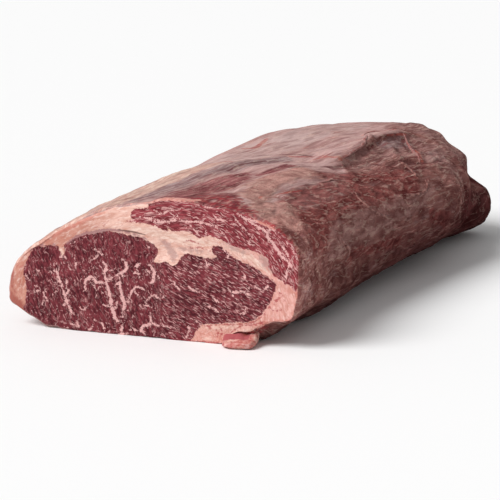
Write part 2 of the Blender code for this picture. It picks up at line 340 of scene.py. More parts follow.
# Marks on the outside: reach, then the line. Each list becomes one mask.
SKIN_MARKS = {
    "cream_fat": (
        (13, ((-106, 0, 44), (-82, 0, 70), (-58, 0, 84))),
        (20, ((-60, 10, 80), (-48, 60, 88), (-40, 100, 92), (-32, 140, 95))),
        (13, ((-36, 4, 92), (-34, 40, 93), (-32, 90, 95), (-30, 120, 96))),
    ),
    "pale_top": (
        (30, ((-26, 170, 96), (-22, 230, 98), (-18, 300, 97), (-14, 370, 93))),
    ),
    "blue_film": (
        (11, ((-20, 8, 95), (-19, 36, 94), (-17, 80, 94), (-12, 114, 96), (-7, 142, 97))),
        (9, ((-4, 123, 98), (2, 158, 97), (10, 195, 95))),
        (11, ((50, 298, 92), (52, 316, 91), (54, 332, 89))),
    ),
    "bare_meat": (
        (16, ((-3, 22, 97), (1, 56, 95), (8, 86, 96), (12, 104, 97))),
        (17, ((14, 10, 99), (18, 40, 98), (19, 70, 97), (18, 94, 97))),
        (15, ((32, 8, 100), (35, 34, 98), (48, 14, 98), (60, 8, 96))),
        (12, ((6, -3, 99), (24, -2, 99), (40, -1, 99), (54, 1, 98), (66, 3, 96))),
        (13, ((8, 44, 97), (22, 62, 97), (24, 86, 97))),
        (7, ((29, 110, 97), (30, 128, 98), (32, 152, 98))),
    ),
    "fat_pad": (
        (17, ((58, 40, 95), (46, 74, 97), (45, 112, 98), (52, 150, 95))),
        (14, ((66, 40, 93), (72, 22, 91), (80, 10, 89))),
        (15, ((76, 52, 88), (84, 36, 86), (88, 22, 84))),
    ),
    "raw_side": (
        (17, ((74, 66, 89), (72, 100, 89), (76, 140, 88), (80, 165, 85))),
        (19, ((90, 60, 80), (92, 100, 77), (92, 145, 78), (96, 190, 75))),
        (15, ((98, 175, 68), (99, 205, 72), (98, 236, 74))),
        (13, ((61, 158, 90), (71, 184, 87), (80, 214, 83), (90, 244, 78))),
        (12, ((101, 40, 70), (99, 60, 66), (99, 90, 64))),
        (9, ((100, 110, 44), (102, 150, 40), (104, 200, 37))),
        (8, ((107, 250, 50), (110, 280, 40))),
    ),
    "pale_film": (
        (19, ((99, 84, 59), (99, 112, 61), (100, 142, 61), (101, 172, 61))),
        (13, ((100, 146, 62), (101, 176, 64), (102, 200, 66))),
        (10, ((103, 196, 60), (105, 226, 62), (104, 256, 68))),
    ),
    # Darkest meat, with painted shade under the far lump, in the far groove and along the table
    "dark_meat": (
        (52, ((98, 378, 34), (98, 404, 26), (88, 424, 14))),
        (9, ((100, 346, 66), (101, 344, 42), (98, 352, 12))),
        (10, ((96, 80, 8), (100, 180, 6), (104, 300, 5), (98, 360, 6))),
    ),
    "cream_rim": (
        (5, ((-104, -14, 44), (-80, -12, 64), (-60, -10, 78), (-44, -8, 88), (-24, -6, 95))),
        (4, ((-24, -6, 95), (-16, -6, 97))),
    ),
    "pink_rim": (
        (6, ((-16, -5, 97), (-4, -4, 98), (8, -3, 99), (20, -2, 99), (31, 2, 99))),
        (5, ((80, -1, 13), (88, 0, 17), (94, 0, 21))),
    ),
    "raw_rim": (
        (10, ((26, 6, 99), (38, 14, 98), (50, 14, 97), (60, 10, 96), (68, 7, 94))),
        (8, ((28, 0, 99), (38, 1, 99), (50, 2, 98), (60, 3, 96), (68, 5, 94))),
        (5, ((24, 24, 97), (40, 25, 98), (54, 24, 97))),
        (4, ((70, 1, 94), (88, 1, 86), (100, 1, 78), (108, 1, 66))),
        (12, ((58, 2, 2), (68, 3, 7), (78, 4, 10))),
    ),
    "far_film": (
        (34, ((20, 405, 90), (60, 398, 84), (84, 380, 70))),
        (26, ((62, 345, 86), (78, 330, 82), (88, 312, 80))),
        (18, ((50, 264, 91), (57, 290, 89), (62, 320, 87))),
        (17, ((50, 224, 91), (50, 246, 91), (54, 270, 90))),
    ),
    # Orange edges of the skin; the lines along the fold's ridges are painted highlight
    "orange_line": (
        (5.0, ((-38, 221, 93), (-31, 228, 94), (-34, 248, 94), (-36, 262, 94))),
        (4.5, ((-32, 150, 95), (-24, 154, 96), (-14, 150, 97))),
        (3.0, ((10, 203, 94), (20, 219, 93), (30, 222, 93), (43, 224, 92))),
        (5.5, ((26, 212, 94), (34, 217, 93), (43, 221, 92))),
        (3.4, ((43, 226, 92), (43, 240, 92), (41, 255, 93), (40, 279, 95), (37, 296, 96))),
        (3.0, ((38, 306, 96), (44, 320, 95), (47, 347, 92))),
        (2.6, ((-52, 50, 86), (-46, 90, 89), (-38, 125, 93))),
        (2.4, ((57, 47, 95), (57, 65, 94), (62, 88, 92), (66, 103, 91))),
        (4.2, ((56, 336, 88), (66, 318, 86), (76, 303, 84), (85, 290, 82))),
    ),
    # Painted shade in the creases beside the fold and in the far groove
    "dark_line": (
        (2.4, ((-12, 190, 95), (0, 207, 95), (20, 221, 93))),
        (2.4, ((36, 144, 98), (43, 170, 95), (47, 188, 92))),
        (4.6, ((47, 188, 92), (51, 214, 88), (53, 241, 87), (62, 246, 85), (74, 252, 85))),
        (4.6, ((74, 252, 85), (76, 267, 85), (85, 285, 81), (87, 298, 81), (91, 322, 78))),
        (3.0, ((48, 240, 91), (47, 262, 92), (46, 285, 93), (43, 302, 95))),
        (4.0, ((96, 340, 70), (104, 330, 62), (104, 336, 48), (100, 344, 34))),
        (4.2, ((45, 276, 93), (45, 290, 93))),
        (2.6, ((-4, 123, 96), (-1, 143, 98), (5, 172, 96))),
    ),
    # Painted shade in hollows and under the fold
    "cavity": (
        (4.2, ((45, 274, 92), (45, 284, 93), (43, 291, 94))),
        (3.6, ((90, 330, 74), (93, 350, 70), (95, 362, 64))),
        (3.8, ((52, 186, 91), (58, 212, 87), (66, 232, 85), (75, 246, 84))),
        (3.6, ((75, 246, 84), (84, 257, 82), (91, 280, 79))),
        (4.4, ((49, 338, 90), (54, 330, 88), (60, 319, 87), (67, 308, 86))),
    ),
    "pale_line": (
        (3.0, ((111, 300, 66), (111, 305, 56), (111, 305, 40))),
        (13.0, ((101, 346, 60), (97, 370, 53), (92, 398, 45))),
        (2.4, ((67, 137, 90), (68, 155, 89), (74, 162, 86), (79, 162, 84))),
        (2.6, ((85, 154, 81), (93, 150, 75), (99, 156, 66), (101, 175, 62))),
        (2.4, ((99, 259, 73), (103, 254, 69), (103, 235, 67), (100, 216, 69))),
        (2.6, ((99, 97, 58), (99, 108, 46), (98, 101, 41))),
    ),
}

# The marks in the order they are laid: mask, light and dark colour, scale of the tones across,
# along and up, threshold, strength, seed of the noise and softness of the edge
SKIN_LAYERS = (
    ("far_film", "far_light", "far_dark", (0.12, 0.03, 0.12), 0.34, 0.85, 2.9, 0.30),
    ("pale_top", "top_light", "top_dark", (0.10, 0.02, 0.10), 0.30, 0.7, 5.2, 0.30),
    ("cream_fat", "cream_light", "cream_dark", (0.30, 0.03, 0.30), 0.30, 0.9, 1.3, 0.22),
    ("blue_film", "blue_light", "blue_dark", (0.62, 0.030, 0.62), 0.34, 0.75, 4.1, 0.30),
    ("bare_meat", "bare_light", "bare_dark", (0.42, 0.05, 0.42), 0.32, 0.92, 7.7, 0.24),
    ("fat_pad", "pad_light", "pad_dark", (0.12, 0.08, 0.12), 0.34, 0.92, 2.2, 0.20),
    ("raw_side", "raw_light", "raw_dark", (0.20, 0.10, 0.20), 0.34, 0.85, 6.4, 0.24),
    ("pale_film", "film_light", "film_dark", (0.16, 0.07, 0.16), 0.36, 0.8, 1.1, 0.28),
    ("dark_meat", "dark_light", "dark_dark", (0.10, 0.06, 0.10), 0.34, 0.9, 8.8, 0.26),
    ("raw_rim", "raw_red", "bare_dark", (0.2, 0.2, 0.2), 0.46, 0.7, 1.9, 0.3),
    ("cream_rim", "pale_fat", "peach_fat", (0.3, 0.1, 0.3), 0.36, 0.85, 6.6, 0.2),
    ("pink_rim", "salmon_fat", "edge_fat", (0.3, 0.1, 0.3), 0.36, 0.85, 3.3, 0.2),
    ("orange_line", "orange", "raw_red", (0.3, 0.1, 0.3), 0.55, 0.6, 3.6, 0.12),
    ("dark_line", "crease", "bare_dark", (0.3, 0.1, 0.3), 0.55, 0.7, 5.5, 0.12),
    ("cavity", "dark_light", "dark_dark", (0.3, 0.1, 0.3), 0.55, 0.8, 2.7, 0.12),
    ("pale_line", "web", "side_light", (0.3, 0.1, 0.3), 0.55, 0.6, 9.1, 0.12),
)

# Fine ridges and creases of the outside: height, reach, then the line
SKIN_RIDGES = (
    (2.0, 4.5, ((43, 220, 92), (43, 240, 92), (41, 255, 93), (40, 279, 95), (37, 296, 96))),
    (1.8, 4.5, ((37, 296, 96), (40, 312, 96), (43, 334, 94), (42, 347, 94))),
    (-2.6, 5.5, ((50, 222, 90), (49, 242, 91), (48, 262, 92), (47, 285, 93), (44, 302, 95))),
    (-2.0, 5.0, ((44, 302, 95), (48, 318, 93), (52, 334, 90), (62, 318, 87))),
    (1.6, 4.5, ((56, 300, 89), (66, 282, 88), (78, 262, 84))),
    (1.2, 5.0, ((58, 240, 87), (66, 255, 86), (70, 275, 86))),
    (-1.4, 5.0, ((54, 345, 88), (70, 325, 84), (84, 300, 81))),
    (-1.6, 4.5, ((49, 190, 91), (51, 214, 88), (53, 241, 87), (62, 246, 85), (74, 252, 85))),
    (-1.6, 4.5, ((74, 252, 85), (76, 267, 85), (85, 285, 81), (87, 298, 81), (91, 322, 78))),
    (1.2, 5.0, ((56, 228, 88), (60, 240, 87), (72, 244, 85))),
    (1.2, 5.0, ((82, 262, 83), (90, 280, 80), (94, 300, 77))),
    (1.3, 6.0, ((58, 52, 95), (70, 60, 91), (80, 44, 88))),
    (-1.2, 3.5, ((52, 62, 96), (62, 70, 93), (72, 68, 90))),
    (-1.0, 3.0, ((64, 22, 94), (66, 32, 93), (64, 44, 94))),
    (0.9, 4.5, ((42, 46, 97), (33, 70, 97), (30, 90, 97), (33, 111, 98))),
    (-0.9, 3.5, ((57, 47, 95), (57, 65, 94), (62, 88, 92), (66, 103, 91))),
    (-0.8, 3.5, ((74, 66, 90), (70, 92, 90), (66, 118, 92), (64, 150, 92))),
    (0.8, 4.0, ((85, 154, 81), (93, 150, 75), (99, 156, 66), (101, 175, 62))),
    (0.8, 4.0, ((99, 259, 73), (103, 254, 69), (103, 235, 67), (100, 216, 69))),
    (-0.8, 4.0, ((-8, 60, 96), (-4, 95, 97), (2, 140, 99), (12, 190, 96))),
    (0.8, 4.0, ((-16, 60, 96), (-12, 110, 98), (-4, 160, 98))),
    (1.8, 9.0, ((30, 406, 89), (38, 405, 88))),
    (-2.2, 10.0, ((50, 410, 86), (62, 408, 82))),
    (1.2, 7.0, ((70, 402, 80), (76, 396, 76))),
    (-3.0, 12.0, ((86, 388, 68), (92, 384, 60))),
    (1.4, 8.0, ((92, 410, 40), (96, 410, 30))),
    (-1.4, 6.0, ((52, 322, 88), (62, 300, 86))),
    (1.0, 5.0, ((24, 319, 94), (24, 333, 94), (36, 342, 95))),
)

# Loose strands of tissue: whether pale, half thickness, then the line
STRANDS = (
    (
        False,
        1.0,
        ((44, 226, 92), (43, 240, 92), (42, 252, 93), (41, 269, 94), (38, 288, 96), (34, 308, 96)),
    ),
    (False, 0.8, ((24, 316, 94), (23, 328, 94), (27, 338, 95), (36, 343, 95), (45, 342, 93))),
    (False, 0.9, ((45, 346, 93), (54, 336, 88), (70, 309, 85), (84, 287, 82))),
    (True, 1.0, ((76, 262, 84), (82, 261, 83), (90, 257, 79), (94, 252, 76))),
    (True, 0.8, ((66, 134, 90), (67, 145, 90), (68, 155, 89), (74, 162, 86), (80, 162, 84))),
    (True, 1.0, ((83, 155, 82), (90, 150, 78), (96, 151, 71), (100, 162, 65), (102, 178, 61))),
    (True, 1.0, ((98, 261, 74), (103, 254, 69), (104, 240, 67), (102, 226, 68), (99, 214, 70))),
    (True, 1.1, ((98, 94, 60), (100, 104, 54), (100, 109, 47), (98, 104, 41))),
    (True, 0.8, ((108, 296, 68), (108, 304, 60), (108, 306, 50), (108, 304, 38))),
)


def linear(value):
    """Light value of one screen tone from 0 to 255."""
    share = value / 255.0
    if share <= 0.04045:
        return share / 12.92
    return ((share + 0.055) / 1.055) ** 2.4


def tint(name, about, red, green, blue):
    """A colour property, its default given as screen tones."""
    default = (linear(red), linear(green), linear(blue), 1.0)
    return FloatVectorProperty(
        name=name, description=about, subtype="COLOR", size=4, min=0.0, max=1.0, default=default
    )


def length_value(name, about, default):
    """A length property, its default in metres."""
    return FloatProperty(name=name, description=about, default=default, unit="LENGTH")


def angle_value(name, about, degrees):
    """An angle property, its default given in degrees."""
    return FloatProperty(
        name=name, description=about, default=math.radians(degrees), subtype="ANGLE"
    )


def place_value(name, about, default):
    """A property for a place, its default in metres."""
    return FloatVectorProperty(
        name=name, description=about, subtype="TRANSLATION", size=len(default), default=default
    )


class RoastSize(bpy.types.PropertyGroup):
    """Sizes of the roast."""

    length: length_value("Length", "From the cut face to the far end", 0.420)
    face_skew: angle_value("Face skew", "How far the cut face is from square", 4.94)
    face_hinge: length_value("Face hinge", "Where across the roast the cut face is square", 0.080)
    front_rounding: length_value("Front rounding", "Radius of the rim of the cut face", 0.0022)
    far_rounding: length_value("Far rounding", "Radius of the far rim", 0.0150)
    pressed_flat: length_value("Pressed flat", "How deep the underside is pressed flat", 0.0034)
    middle_x: length_value("Middle", "Shift across to the frame", -0.0012)
    front_y: length_value("Front", "Shift along to the frame", -0.2070)
    lump_size: length_value("Lump size", "Spacing of the soft lumps", 0.036)
    lump_height: length_value("Lump height", "Height of the soft lumps", 0.0015)
    face_lump_height: length_value("Face lump height", "Height of the lumps on the cut faces", 0.0007)
    cells_across: IntProperty(name="Cells across", description="Grid cells across", default=116)
    cells_up: IntProperty(name="Cells up", description="Grid cells up", default=58)
    front_rings: IntProperty(name="Front rings", description="Rings of the front rim", default=4)
    body_rings: IntProperty(name="Body rings", description="Rings along the body", default=172)
    far_rings: IntProperty(name="Far rings", description="Rings of the far rim", default=10)


class RoastColours(bpy.types.PropertyGroup):
    """Colours of the roast."""

    lean_dark: tint("Lean, dark", "Darkest lean of the rib eye", 70, 19, 27)
    lean_light: tint("Lean, light", "Lightest lean of the rib eye", 126, 54, 61)
    cap_dark: tint("Cap, dark", "Darkest lean of the cap muscle", 104, 36, 42)
    cap_light: tint("Cap, light", "Lightest lean of the cap muscle", 154, 66, 73)
    vein: tint("Vein", "Fat of the veins and flecks", 224, 174, 170)
    cream_fat: tint("Cream fat", "Fat of the seams", 233, 192, 178)
    peach_fat: tint("Peach fat", "Fat of the left edge", 200, 142, 126)
    salmon_fat: tint("Salmon fat", "Fat of the right edge", 224, 168, 158)
    edge_fat: tint("Edge fat", "Fat of the very edge", 210, 138, 126)
    pale_fat: tint("Pale fat", "Brightest fat of the seams", 236, 206, 192)
    grey_tissue: tint("Grey tissue", "Tissue in the seams", 180, 142, 136)
    # Grey film with painted shade along the seam
    seam_film_and_shade: tint("Seam grey", "Film along the top of the rib eye", 156, 112, 116)
    # Painted shade low on the left edge
    toe_shade: tint("Toe", "Browner fat low on the left edge", 158, 86, 76)
    raw_red: tint("Raw red", "Bright raw edges", 160, 50, 57)
    # Painted shade in a seam gap
    gap: tint("Gap", "Dark gap along a seam", 92, 62, 58)
    skin_light: tint("Skin, light", "Lightest skin of the top", 194, 158, 154)
    skin_dark: tint("Skin, dark", "Darkest skin of the top", 162, 122, 118)
    cream_light: tint("Cream band, light", "Light part of the cream band", 218, 190, 174)
    cream_dark: tint("Cream band, dark", "Dark part of the cream band", 194, 150, 138)
    blue_light: tint("Blue film, light", "Light part of the blue-grey film", 174, 152, 151)
    blue_dark: tint("Blue film, dark", "Dark part of the blue-grey film", 120, 88, 90)
    bare_light: tint("Bare meat, light", "Pale streaks of the bare meat", 164, 104, 104)
    bare_dark: tint("Bare meat, dark", "Dark bare meat", 92, 36, 42)
    pad_light: tint("Fat pad, light", "Light part of the fat pad", 194, 146, 136)
    pad_dark: tint("Fat pad, dark", "Dark part of the fat pad", 156, 110, 102)
    top_light: tint("Pale top, light", "Light part of the highest skin", 200, 174, 170)
    top_dark: tint("Pale top, dark", "Dark part of the highest skin", 178, 146, 141)
    film_light: tint("Side film, light", "Light part of the film on the side", 168, 128, 122)
    film_dark: tint("Side film, dark", "Dark part of the film on the side", 118, 78, 74)
    side_light: tint("Side, light", "Light part of the side's film", 146, 98, 92)
    side_dark: tint("Side, dark", "Dark part of the side's film", 96, 56, 53)
    raw_light: tint("Raw side, light", "Light part of the raw side", 148, 84, 80)
    raw_dark: tint("Raw side, dark", "Dark part of the raw side", 90, 38, 38)
    web: tint("Web", "Pale threads over the side", 160, 114, 106)
    far_light: tint("Far film, light", "Light part of the far film", 166, 126, 121)
    far_dark: tint("Far film, dark", "Dark part of the far film", 112, 74, 71)
    # Darkest meat, also painted as shade in hollows and low places
    dark_light: tint("Dark meat, light", "Light part of the darkest meat", 134, 80, 79)
    dark_dark: tint("Dark meat, dark", "Dark part of the darkest meat", 72, 34, 34)
    # Orange of the skin's edges, also painted as highlight along the fold's ridges
    orange: tint("Orange line", "Orange edges of the skin", 176, 102, 86)
    # Painted shade in creases
    crease: tint("Crease", "Dark creases of the skin", 104, 70, 68)
    flap_fat: tint("Flap", "Fat of the small flap", 196, 120, 113)
    flap_raw: tint("Flap, raw", "Raw top of the small flap", 166, 84, 88)
    # Painted shade in the hollow on the flap
    flap_hollow_shade: tint("Flap, hollow", "Dark hollow behind the small flap", 128, 58, 50)


class FlapSize(bpy.types.PropertyGroup):
    """Sizes of the small flap of fat under the right corner of the cut face."""

    width: length_value("Width", "Across the flap", 0.024)
    depth: length_value("Depth", "Front to back", 0.029)
    height: length_value("Height", "At its front", 0.0070)
    rise: length_value("Rise", "Extra height at its back right", 0.0050)
    back_rise: length_value("Back rise", "Extra height all along its back", 0.0036)
    hollow: length_value("Hollow", "Depth of the hollow on top", 0.0014)
    turn: angle_value("Turn", "How far the flap is turned to the left", 13.0)
    middle: place_value("Middle", "Middle of the flap on the table", (0.0636, -0.2058))


class RoastStage(bpy.types.PropertyGroup):
    """Table, light and camera."""

    table_width: length_value("Table width", "Width of the table", 24.0)
    table_colour: tint("Table", "Colour of the table", 246, 246, 246)
    key_strength: FloatProperty(name="Key strength", description="Main light", default=3.1)
    key_height: angle_value("Key height", "Angle of the main light above the table", 46.0)
    key_side: angle_value("Key side", "Angle of the main light to the left of the cut face", 38.0)
    key_softness: angle_value("Key softness", "Width of the main light in the sky", 34.0)
    fill_strength: FloatProperty(name="Fill strength", description="Light all round", default=0.38)
    lens: FloatProperty(name="Lens", description="Focal length in millimetres", default=172.8)
    camera_place: place_value("Camera place", "Where the camera stands", (0.7524, -1.6475, 0.4213))
    camera_tilt: angle_value("Camera tilt", "How far the camera looks down", 12.5)
    camera_turn: angle_value("Camera turn", "How far the camera is turned to the left", 25.31)


def ramp(value, start, end):
    """0 before the start and 1 after the end, rising evenly between them."""
    return np.clip((value - start) / (end - start), 0.0, 1.0)


def smooth_curve(points, steps=5, closed=False):
    """Points along a smooth curve through the given ones."""
    given = np.array(points, dtype=float)
    if closed:
        padded = np.vstack((given[-1:], given, given[:2]))
    else:
        padded = np.vstack((2 * given[:1] - given[1:2], given, 2 * given[-1:] - given[-2:-1]))
    result = []
    for index in range(len(padded) - 3):
        before, here, after, beyond = padded[index:index + 4]
        for step in range(steps):
            t = step / steps
            result.append(
                0.5 * (
                    2 * here
                    + (after - before) * t
                    + (2 * before - 5 * here + 4 * after - beyond) * t ** 2
                    + (3 * here - before - 3 * after + beyond) * t ** 3
                )
            )
    if not closed:
        result.append(padded[-2])
    return np.array(result)


def distance_to_line(places, line, half_width=0.0, closed=False):
    """Distance of each place from a line, less the line's half width, which tapers."""
    ends = np.roll(line, -1, axis=0) if closed else line[1:]
    starts = line if closed else line[:-1]
    count = len(starts)
    nearest = np.full(len(places), FAR_AWAY)
    for index in range(count):
        run = ends[index] - starts[index]
        offset = places - starts[index]
        share = np.clip(offset @ run / max(run @ run, 1e-9), 0.0, 1.0)
        distance = np.linalg.norm(offset - share[:, None] * run, axis=1)
        if half_width > 0.0:
            distance -= half_width * (0.35 + 0.65 * np.sin(np.pi * (index + share) / count))
        nearest = np.minimum(nearest, distance)
    return nearest


def inside_outline(places, outline):
    """Whether each place is inside a closed outline."""
    inside = np.zeros(len(places), dtype=bool)
    following = np.roll(outline, -1, axis=0)
    for start, end in zip(outline, following):
        if start[1] == end[1]:
            continue
        crosses = (places[:, 1] > start[1]) != (places[:, 1] > end[1])
        slope = (end[0] - start[0]) / (end[1] - start[1])
        inside ^= crosses & (places[:, 0] < start[0] + (places[:, 1] - start[1]) * slope)
    return inside


def depth_in_outline(places, points):
    """Distance of each place from a smooth outline, positive inside it."""
    outline = smooth_curve(points, closed=True)
    distance = distance_to_line(places, outline, closed=True)
    return np.where(inside_outline(places, outline), distance, -distance)


def nearest_line(places, lines):
    """Distance from the nearest of several smooth lines with widths."""
    nearest = np.full(len(places), FAR_AWAY)
    for half_width, points in lines:
        distance = distance_to_line(places, smooth_curve(points), half_width)
        nearest = np.minimum(nearest, distance)
    return nearest


def mark_strength(places, lines):
    """1 on the lines of a mark, falling evenly to 0 at their reach."""
    strength = np.zeros(len(places))
    for reach, points in lines:
        distance = distance_to_line(places, smooth_curve(points))
        strength = np.maximum(strength, 1.0 - distance / reach)
    return strength


def section_rows(places):
    """The cross-section at each place along the roast."""
    stations = SECTIONS[:, 0]
    span = np.clip(np.searchsorted(stations, places) - 1, 0, len(stations) - 2)
    slope = np.empty_like(SECTIONS)
    slope[1:-1] = (SECTIONS[2:] - SECTIONS[:-2]) / (stations[2:] - stations[:-2])[:, None]
    slope[0] = (SECTIONS[1] - SECTIONS[0]) / (stations[1] - stations[0])
    slope[-1] = (SECTIONS[-1] - SECTIONS[-2]) / (stations[-1] - stations[-2])
    width = (stations[span + 1] - stations[span])[:, None]
    t = (places - stations[span])[:, None] / width
    rise = t * t * (3.0 - 2.0 * t)
    level = SECTIONS[span] + (SECTIONS[span + 1] - SECTIONS[span]) * rise
    level += slope[span] * t * (1.0 - t) ** 2 * width
    level += slope[span + 1] * t * t * (t - 1.0) * width
    return level


def outline_places(rows, angle, inset):
    """Places on cross-sections at angles about their middle, and outward directions."""
    crown, height, left, right, right_z, left_z = rows[:, 1:7].T
    top_right, top_left, bottom_left, bottom_right = rows[:, 7:11].T
    across = np.cos(angle)
    up = np.sin(angle)
    to_right = across >= 0.0
    top = np.where(to_right, top_right, top_left)
    bottom = np.where(to_right, bottom_right, bottom_left)
    square = np.where(up >= 0.0, top, bottom)
    radius = (np.abs(across) ** square + np.abs(up) ** square) ** (-1.0 / square)
    width = np.where(to_right, right - crown, crown - left)
    middle = np.where(to_right, right_z, left_z)
    half = np.where(up >= 0.0, height - middle, middle)
    x = crown + (width - inset) * across * radius
    z = middle + (half - inset) * up * radius
    outward = np.stack((across / width, np.zeros_like(x), up / half), axis=1)
    outward /= np.linalg.norm(outward, axis=1, keepdims=True)
    return np.stack((x, np.zeros_like(x), z), axis=1), outward


def rim_angles(across, up):
    """Angles on the outline of places on the rim of the unit square."""
    eighth = 0.25 * math.pi
    angle = 4.0 * eighth - up * eighth
    angle = np.where(across >= 1.0, up * eighth, angle)
    angle = np.where(up <= -1.0, -2.0 * eighth + across * eighth, angle)
    return np.where(up >= 1.0, 2.0 * eighth - across * eighth, angle)


def end_places(rows, across, up, inset):
    """Places inside an end face, spread evenly between the four sides of its rim."""
    one = np.ones_like(across)

    def rim(a, b):
        return outline_places(rows, rim_angles(a, b), inset)[0]

    right = (0.5 * (1.0 + across))[:, None]
    top = (0.5 * (1.0 + up))[:, None]
    between_sides = rim(-one, up) * (1.0 - right) + rim(one, up) * right
    between_ends = rim(across, -one) * (1.0 - top) + rim(across, one) * top
    low = rim(-one, -one) * (1.0 - right) + rim(one, -one) * right
    high = rim(-one, one) * (1.0 - right) + rim(one, one) * right
    return between_sides + between_ends - (low * (1.0 - top) + high * top)


def ring_places(size):
    """Place along the roast and inset of each ring, in millimetres."""
    length = size.length / MM
    front = size.front_rounding / MM
    far = size.far_rounding / MM
    turn = 0.5 * np.pi * np.arange(size.front_rings) / size.front_rings
    places = list(front * (1.0 - np.cos(turn)))
    insets = list(front * (1.0 - np.sin(turn)))
    share = np.arange(size.body_rings + 1) / size.body_rings
    share = share * (RING_EVENNESS + (1.0 - RING_EVENNESS) * share)
    places += list(front + (length - front - far) * share)
    insets += [0.0] * len(share)
    turn = 0.5 * np.pi * np.arange(1, size.far_rings + 1) / size.far_rings
    places += list(length - far * (1.0 - np.sin(turn)))
    insets += list(far * (1.0 - np.cos(turn)))
    return np.array(places), np.array(insets)


def swollen(points):
    """How far the named swellings move each point."""
    move = np.zeros_like(points)
    for start, end, reach, push in SWELLINGS:
        scaled = points / np.array(reach, dtype=float)
        ends = np.array((start, end)) / np.array(reach, dtype=float)
        distance = np.clip(distance_to_line(scaled, ends), 0.0, 1.0)
        move += ((1.0 - distance ** 2) ** 2)[:, None] * np.array(push)
    return move


def noise_at(points, spacing, offset=0.0):
    """Smooth noise from -1 to 1 at each point."""
    scaled = points / spacing + offset
    return np.array([noise.noise(Vector(row)) for row in scaled])


def waves(points, layers):
    """Several layers of noise added up."""
    total = np.zeros(len(points))
    for height, spacing, offset in layers:
        total += height * noise_at(points, spacing, offset)
    return total


def side_share(seen):
    """Share of the side's film and meat at each place: 0 on the pale top, 1 on the side."""
    x, along, z = seen.T
    fold = np.interp(along, FOLD_ALONG, FOLD_ACROSS)
    fade = np.interp(along, (150.0, 220.0), (34.0, 4.0))
    side = np.clip((x - fold) / fade + (80.0 - z) / 60.0, 0.0, 1.0)
    far = ramp(along, 340.0, 376.0) * ramp(x, 4.0, 40.0)
    return np.maximum(side, 0.9 * far)


def low_painted_shade(seen):
    """How much painted shade darkens the outside at each place, most near the table."""
    deeper = np.interp(seen[:, 1], SHADE_STOPS, SHADE_DEPTHS)
    lowest = 0.5 * ramp(seen[:, 2], 16.0, 0.0)
    return ramp(seen[:, 2], 62.0, 0.0) ** 0.7 * deeper + lowest


def near_painted_light(seen):
    """Painted light near the cut face: how close each place is to it, less near the table."""
    return ramp(seen[:, 1], 110.0, 0.0) * ramp(seen[:, 2], 0.0, 34.0)


def fine_relief(points, seen, outward, on_end):
    """Ridges, creases and grain of the outside, along the outward direction."""
    height = np.zeros(len(points))
    side = ~on_end
    here = points[side]
    there = seen[side]
    relief = np.zeros(len(here))
    for push, reach, line in SKIN_RIDGES:
        distance = np.clip(distance_to_line(there, smooth_curve(line)) / reach, 0.0, 1.0)
        relief += push * (1.0 - distance ** 2) ** 2
    relief += waves(here * np.array((1.0, 0.16, 1.0)), GRAIN_WAVES)
    rough = side_share(there)
    web = 1.1 * (1.0 - 2.2 * np.abs(noise_at(here, 17.0, 5.3)))
    web += 0.7 * (1.0 - 2.2 * np.abs(noise_at(here * np.array((1.0, 0.7, 1.0)), 8.5, 1.9)))
    relief += rough * (web - 0.8)
    left = ramp(there[:, 0], -12.0, -28.0) * ramp(there[:, 1], 150.0, 100.0)
    relief += left * waves(here, CREAM_WAVES)
    height[side] = relief
    return outward * height[:, None]


def rim_outward(across, up, rows, inset):
    """Outward direction in the plane of the section, less towards its middle."""
    reach = np.maximum(np.abs(across), np.abs(up))
    scale = np.maximum(reach, 1e-6)
    outward = outline_places(rows, rim_angles(across / scale, up / scale), inset)[1]
    return outward * ramp(reach, 0.8, 1.0)[:, None]


def rim_ragged(points):
    """How far the ragged rim of the cut face stands out, in millimetres."""
    fade = np.exp(-points[:, 1] / 7.0)
    ragged = np.zeros(len(points))
    near = fade > 0.01
    ragged[near] = fade[near] * (waves(points[near], RIM_WAVES) - 0.4)
    return ragged


def bottom_lift(points):
    """How far the lower edge of the cut face hangs clear of the table, in millimetres."""
    near = (points[:, 1] < 14.0) & (points[:, 2] < 12.0)
    lift = np.zeros(len(points))
    here = points[near]
    hanging = np.maximum(0.0, waves(here, LIFT_WAVES) + 0.4)
    lift[near] = hanging * np.exp(-here[:, 1] / 5.0) * ramp(here[:, 2], 12.0, 0.0)
    return lift


def new_mesh(name, shape):
    """A smooth mesh from a bmesh, which is freed."""
    mesh = bpy.data.meshes.new(name)
    shape.normal_update()
    shape.to_mesh(mesh)
    shape.free()
    mesh.shade_smooth()
    return mesh


def divided_block(size):
    """A cube of half-size 1, divided into the grid, with the cut face divided again."""
    grid = bmesh.new()
    bmesh.ops.create_cube(grid, size=2.0)
    rings = size.front_rings + size.body_rings + size.far_rings
    for axis, cells in enumerate((size.cells_across, rings, size.cells_up)):
        edges = []
        for edge in grid.edges:
            run = edge.verts[1].co - edge.verts[0].co
            if abs(run[axis]) > 0.5 * run.length:
                edges.append(edge)
        bmesh.ops.subdivide_edges(grid, edges=edges, cuts=cells - 1, use_grid_fill=True)
    front = []
    for edge in grid.edges:
        if max(vertex.co.y for vertex in edge.verts) < ON_FRONT:
            front.append(edge)
    bmesh.ops.subdivide_edges(grid, edges=front, cuts=1, use_grid_fill=True)
    return new_mesh("beef_roast", grid)


def read_places(mesh):
    """The mesh's vertices as an array."""
    flat = np.empty(len(mesh.vertices) * 3)
    mesh.vertices.foreach_get("co", flat)
    return flat.reshape(-1, 3)


def add_values(mesh, name, values):
    """Stores one number for each vertex."""
    layer = mesh.attributes.new(name, "FLOAT", "POINT")
    layer.data.foreach_set("value", np.ascontiguousarray(values, dtype=np.float32))


def add_vectors(mesh, name, values):
    """Stores one vector for each vertex."""
    layer = mesh.attributes.new(name, "FLOAT_VECTOR", "POINT")
    layer.data.foreach_set("vector", np.ascontiguousarray(values, dtype=np.float32).ravel())


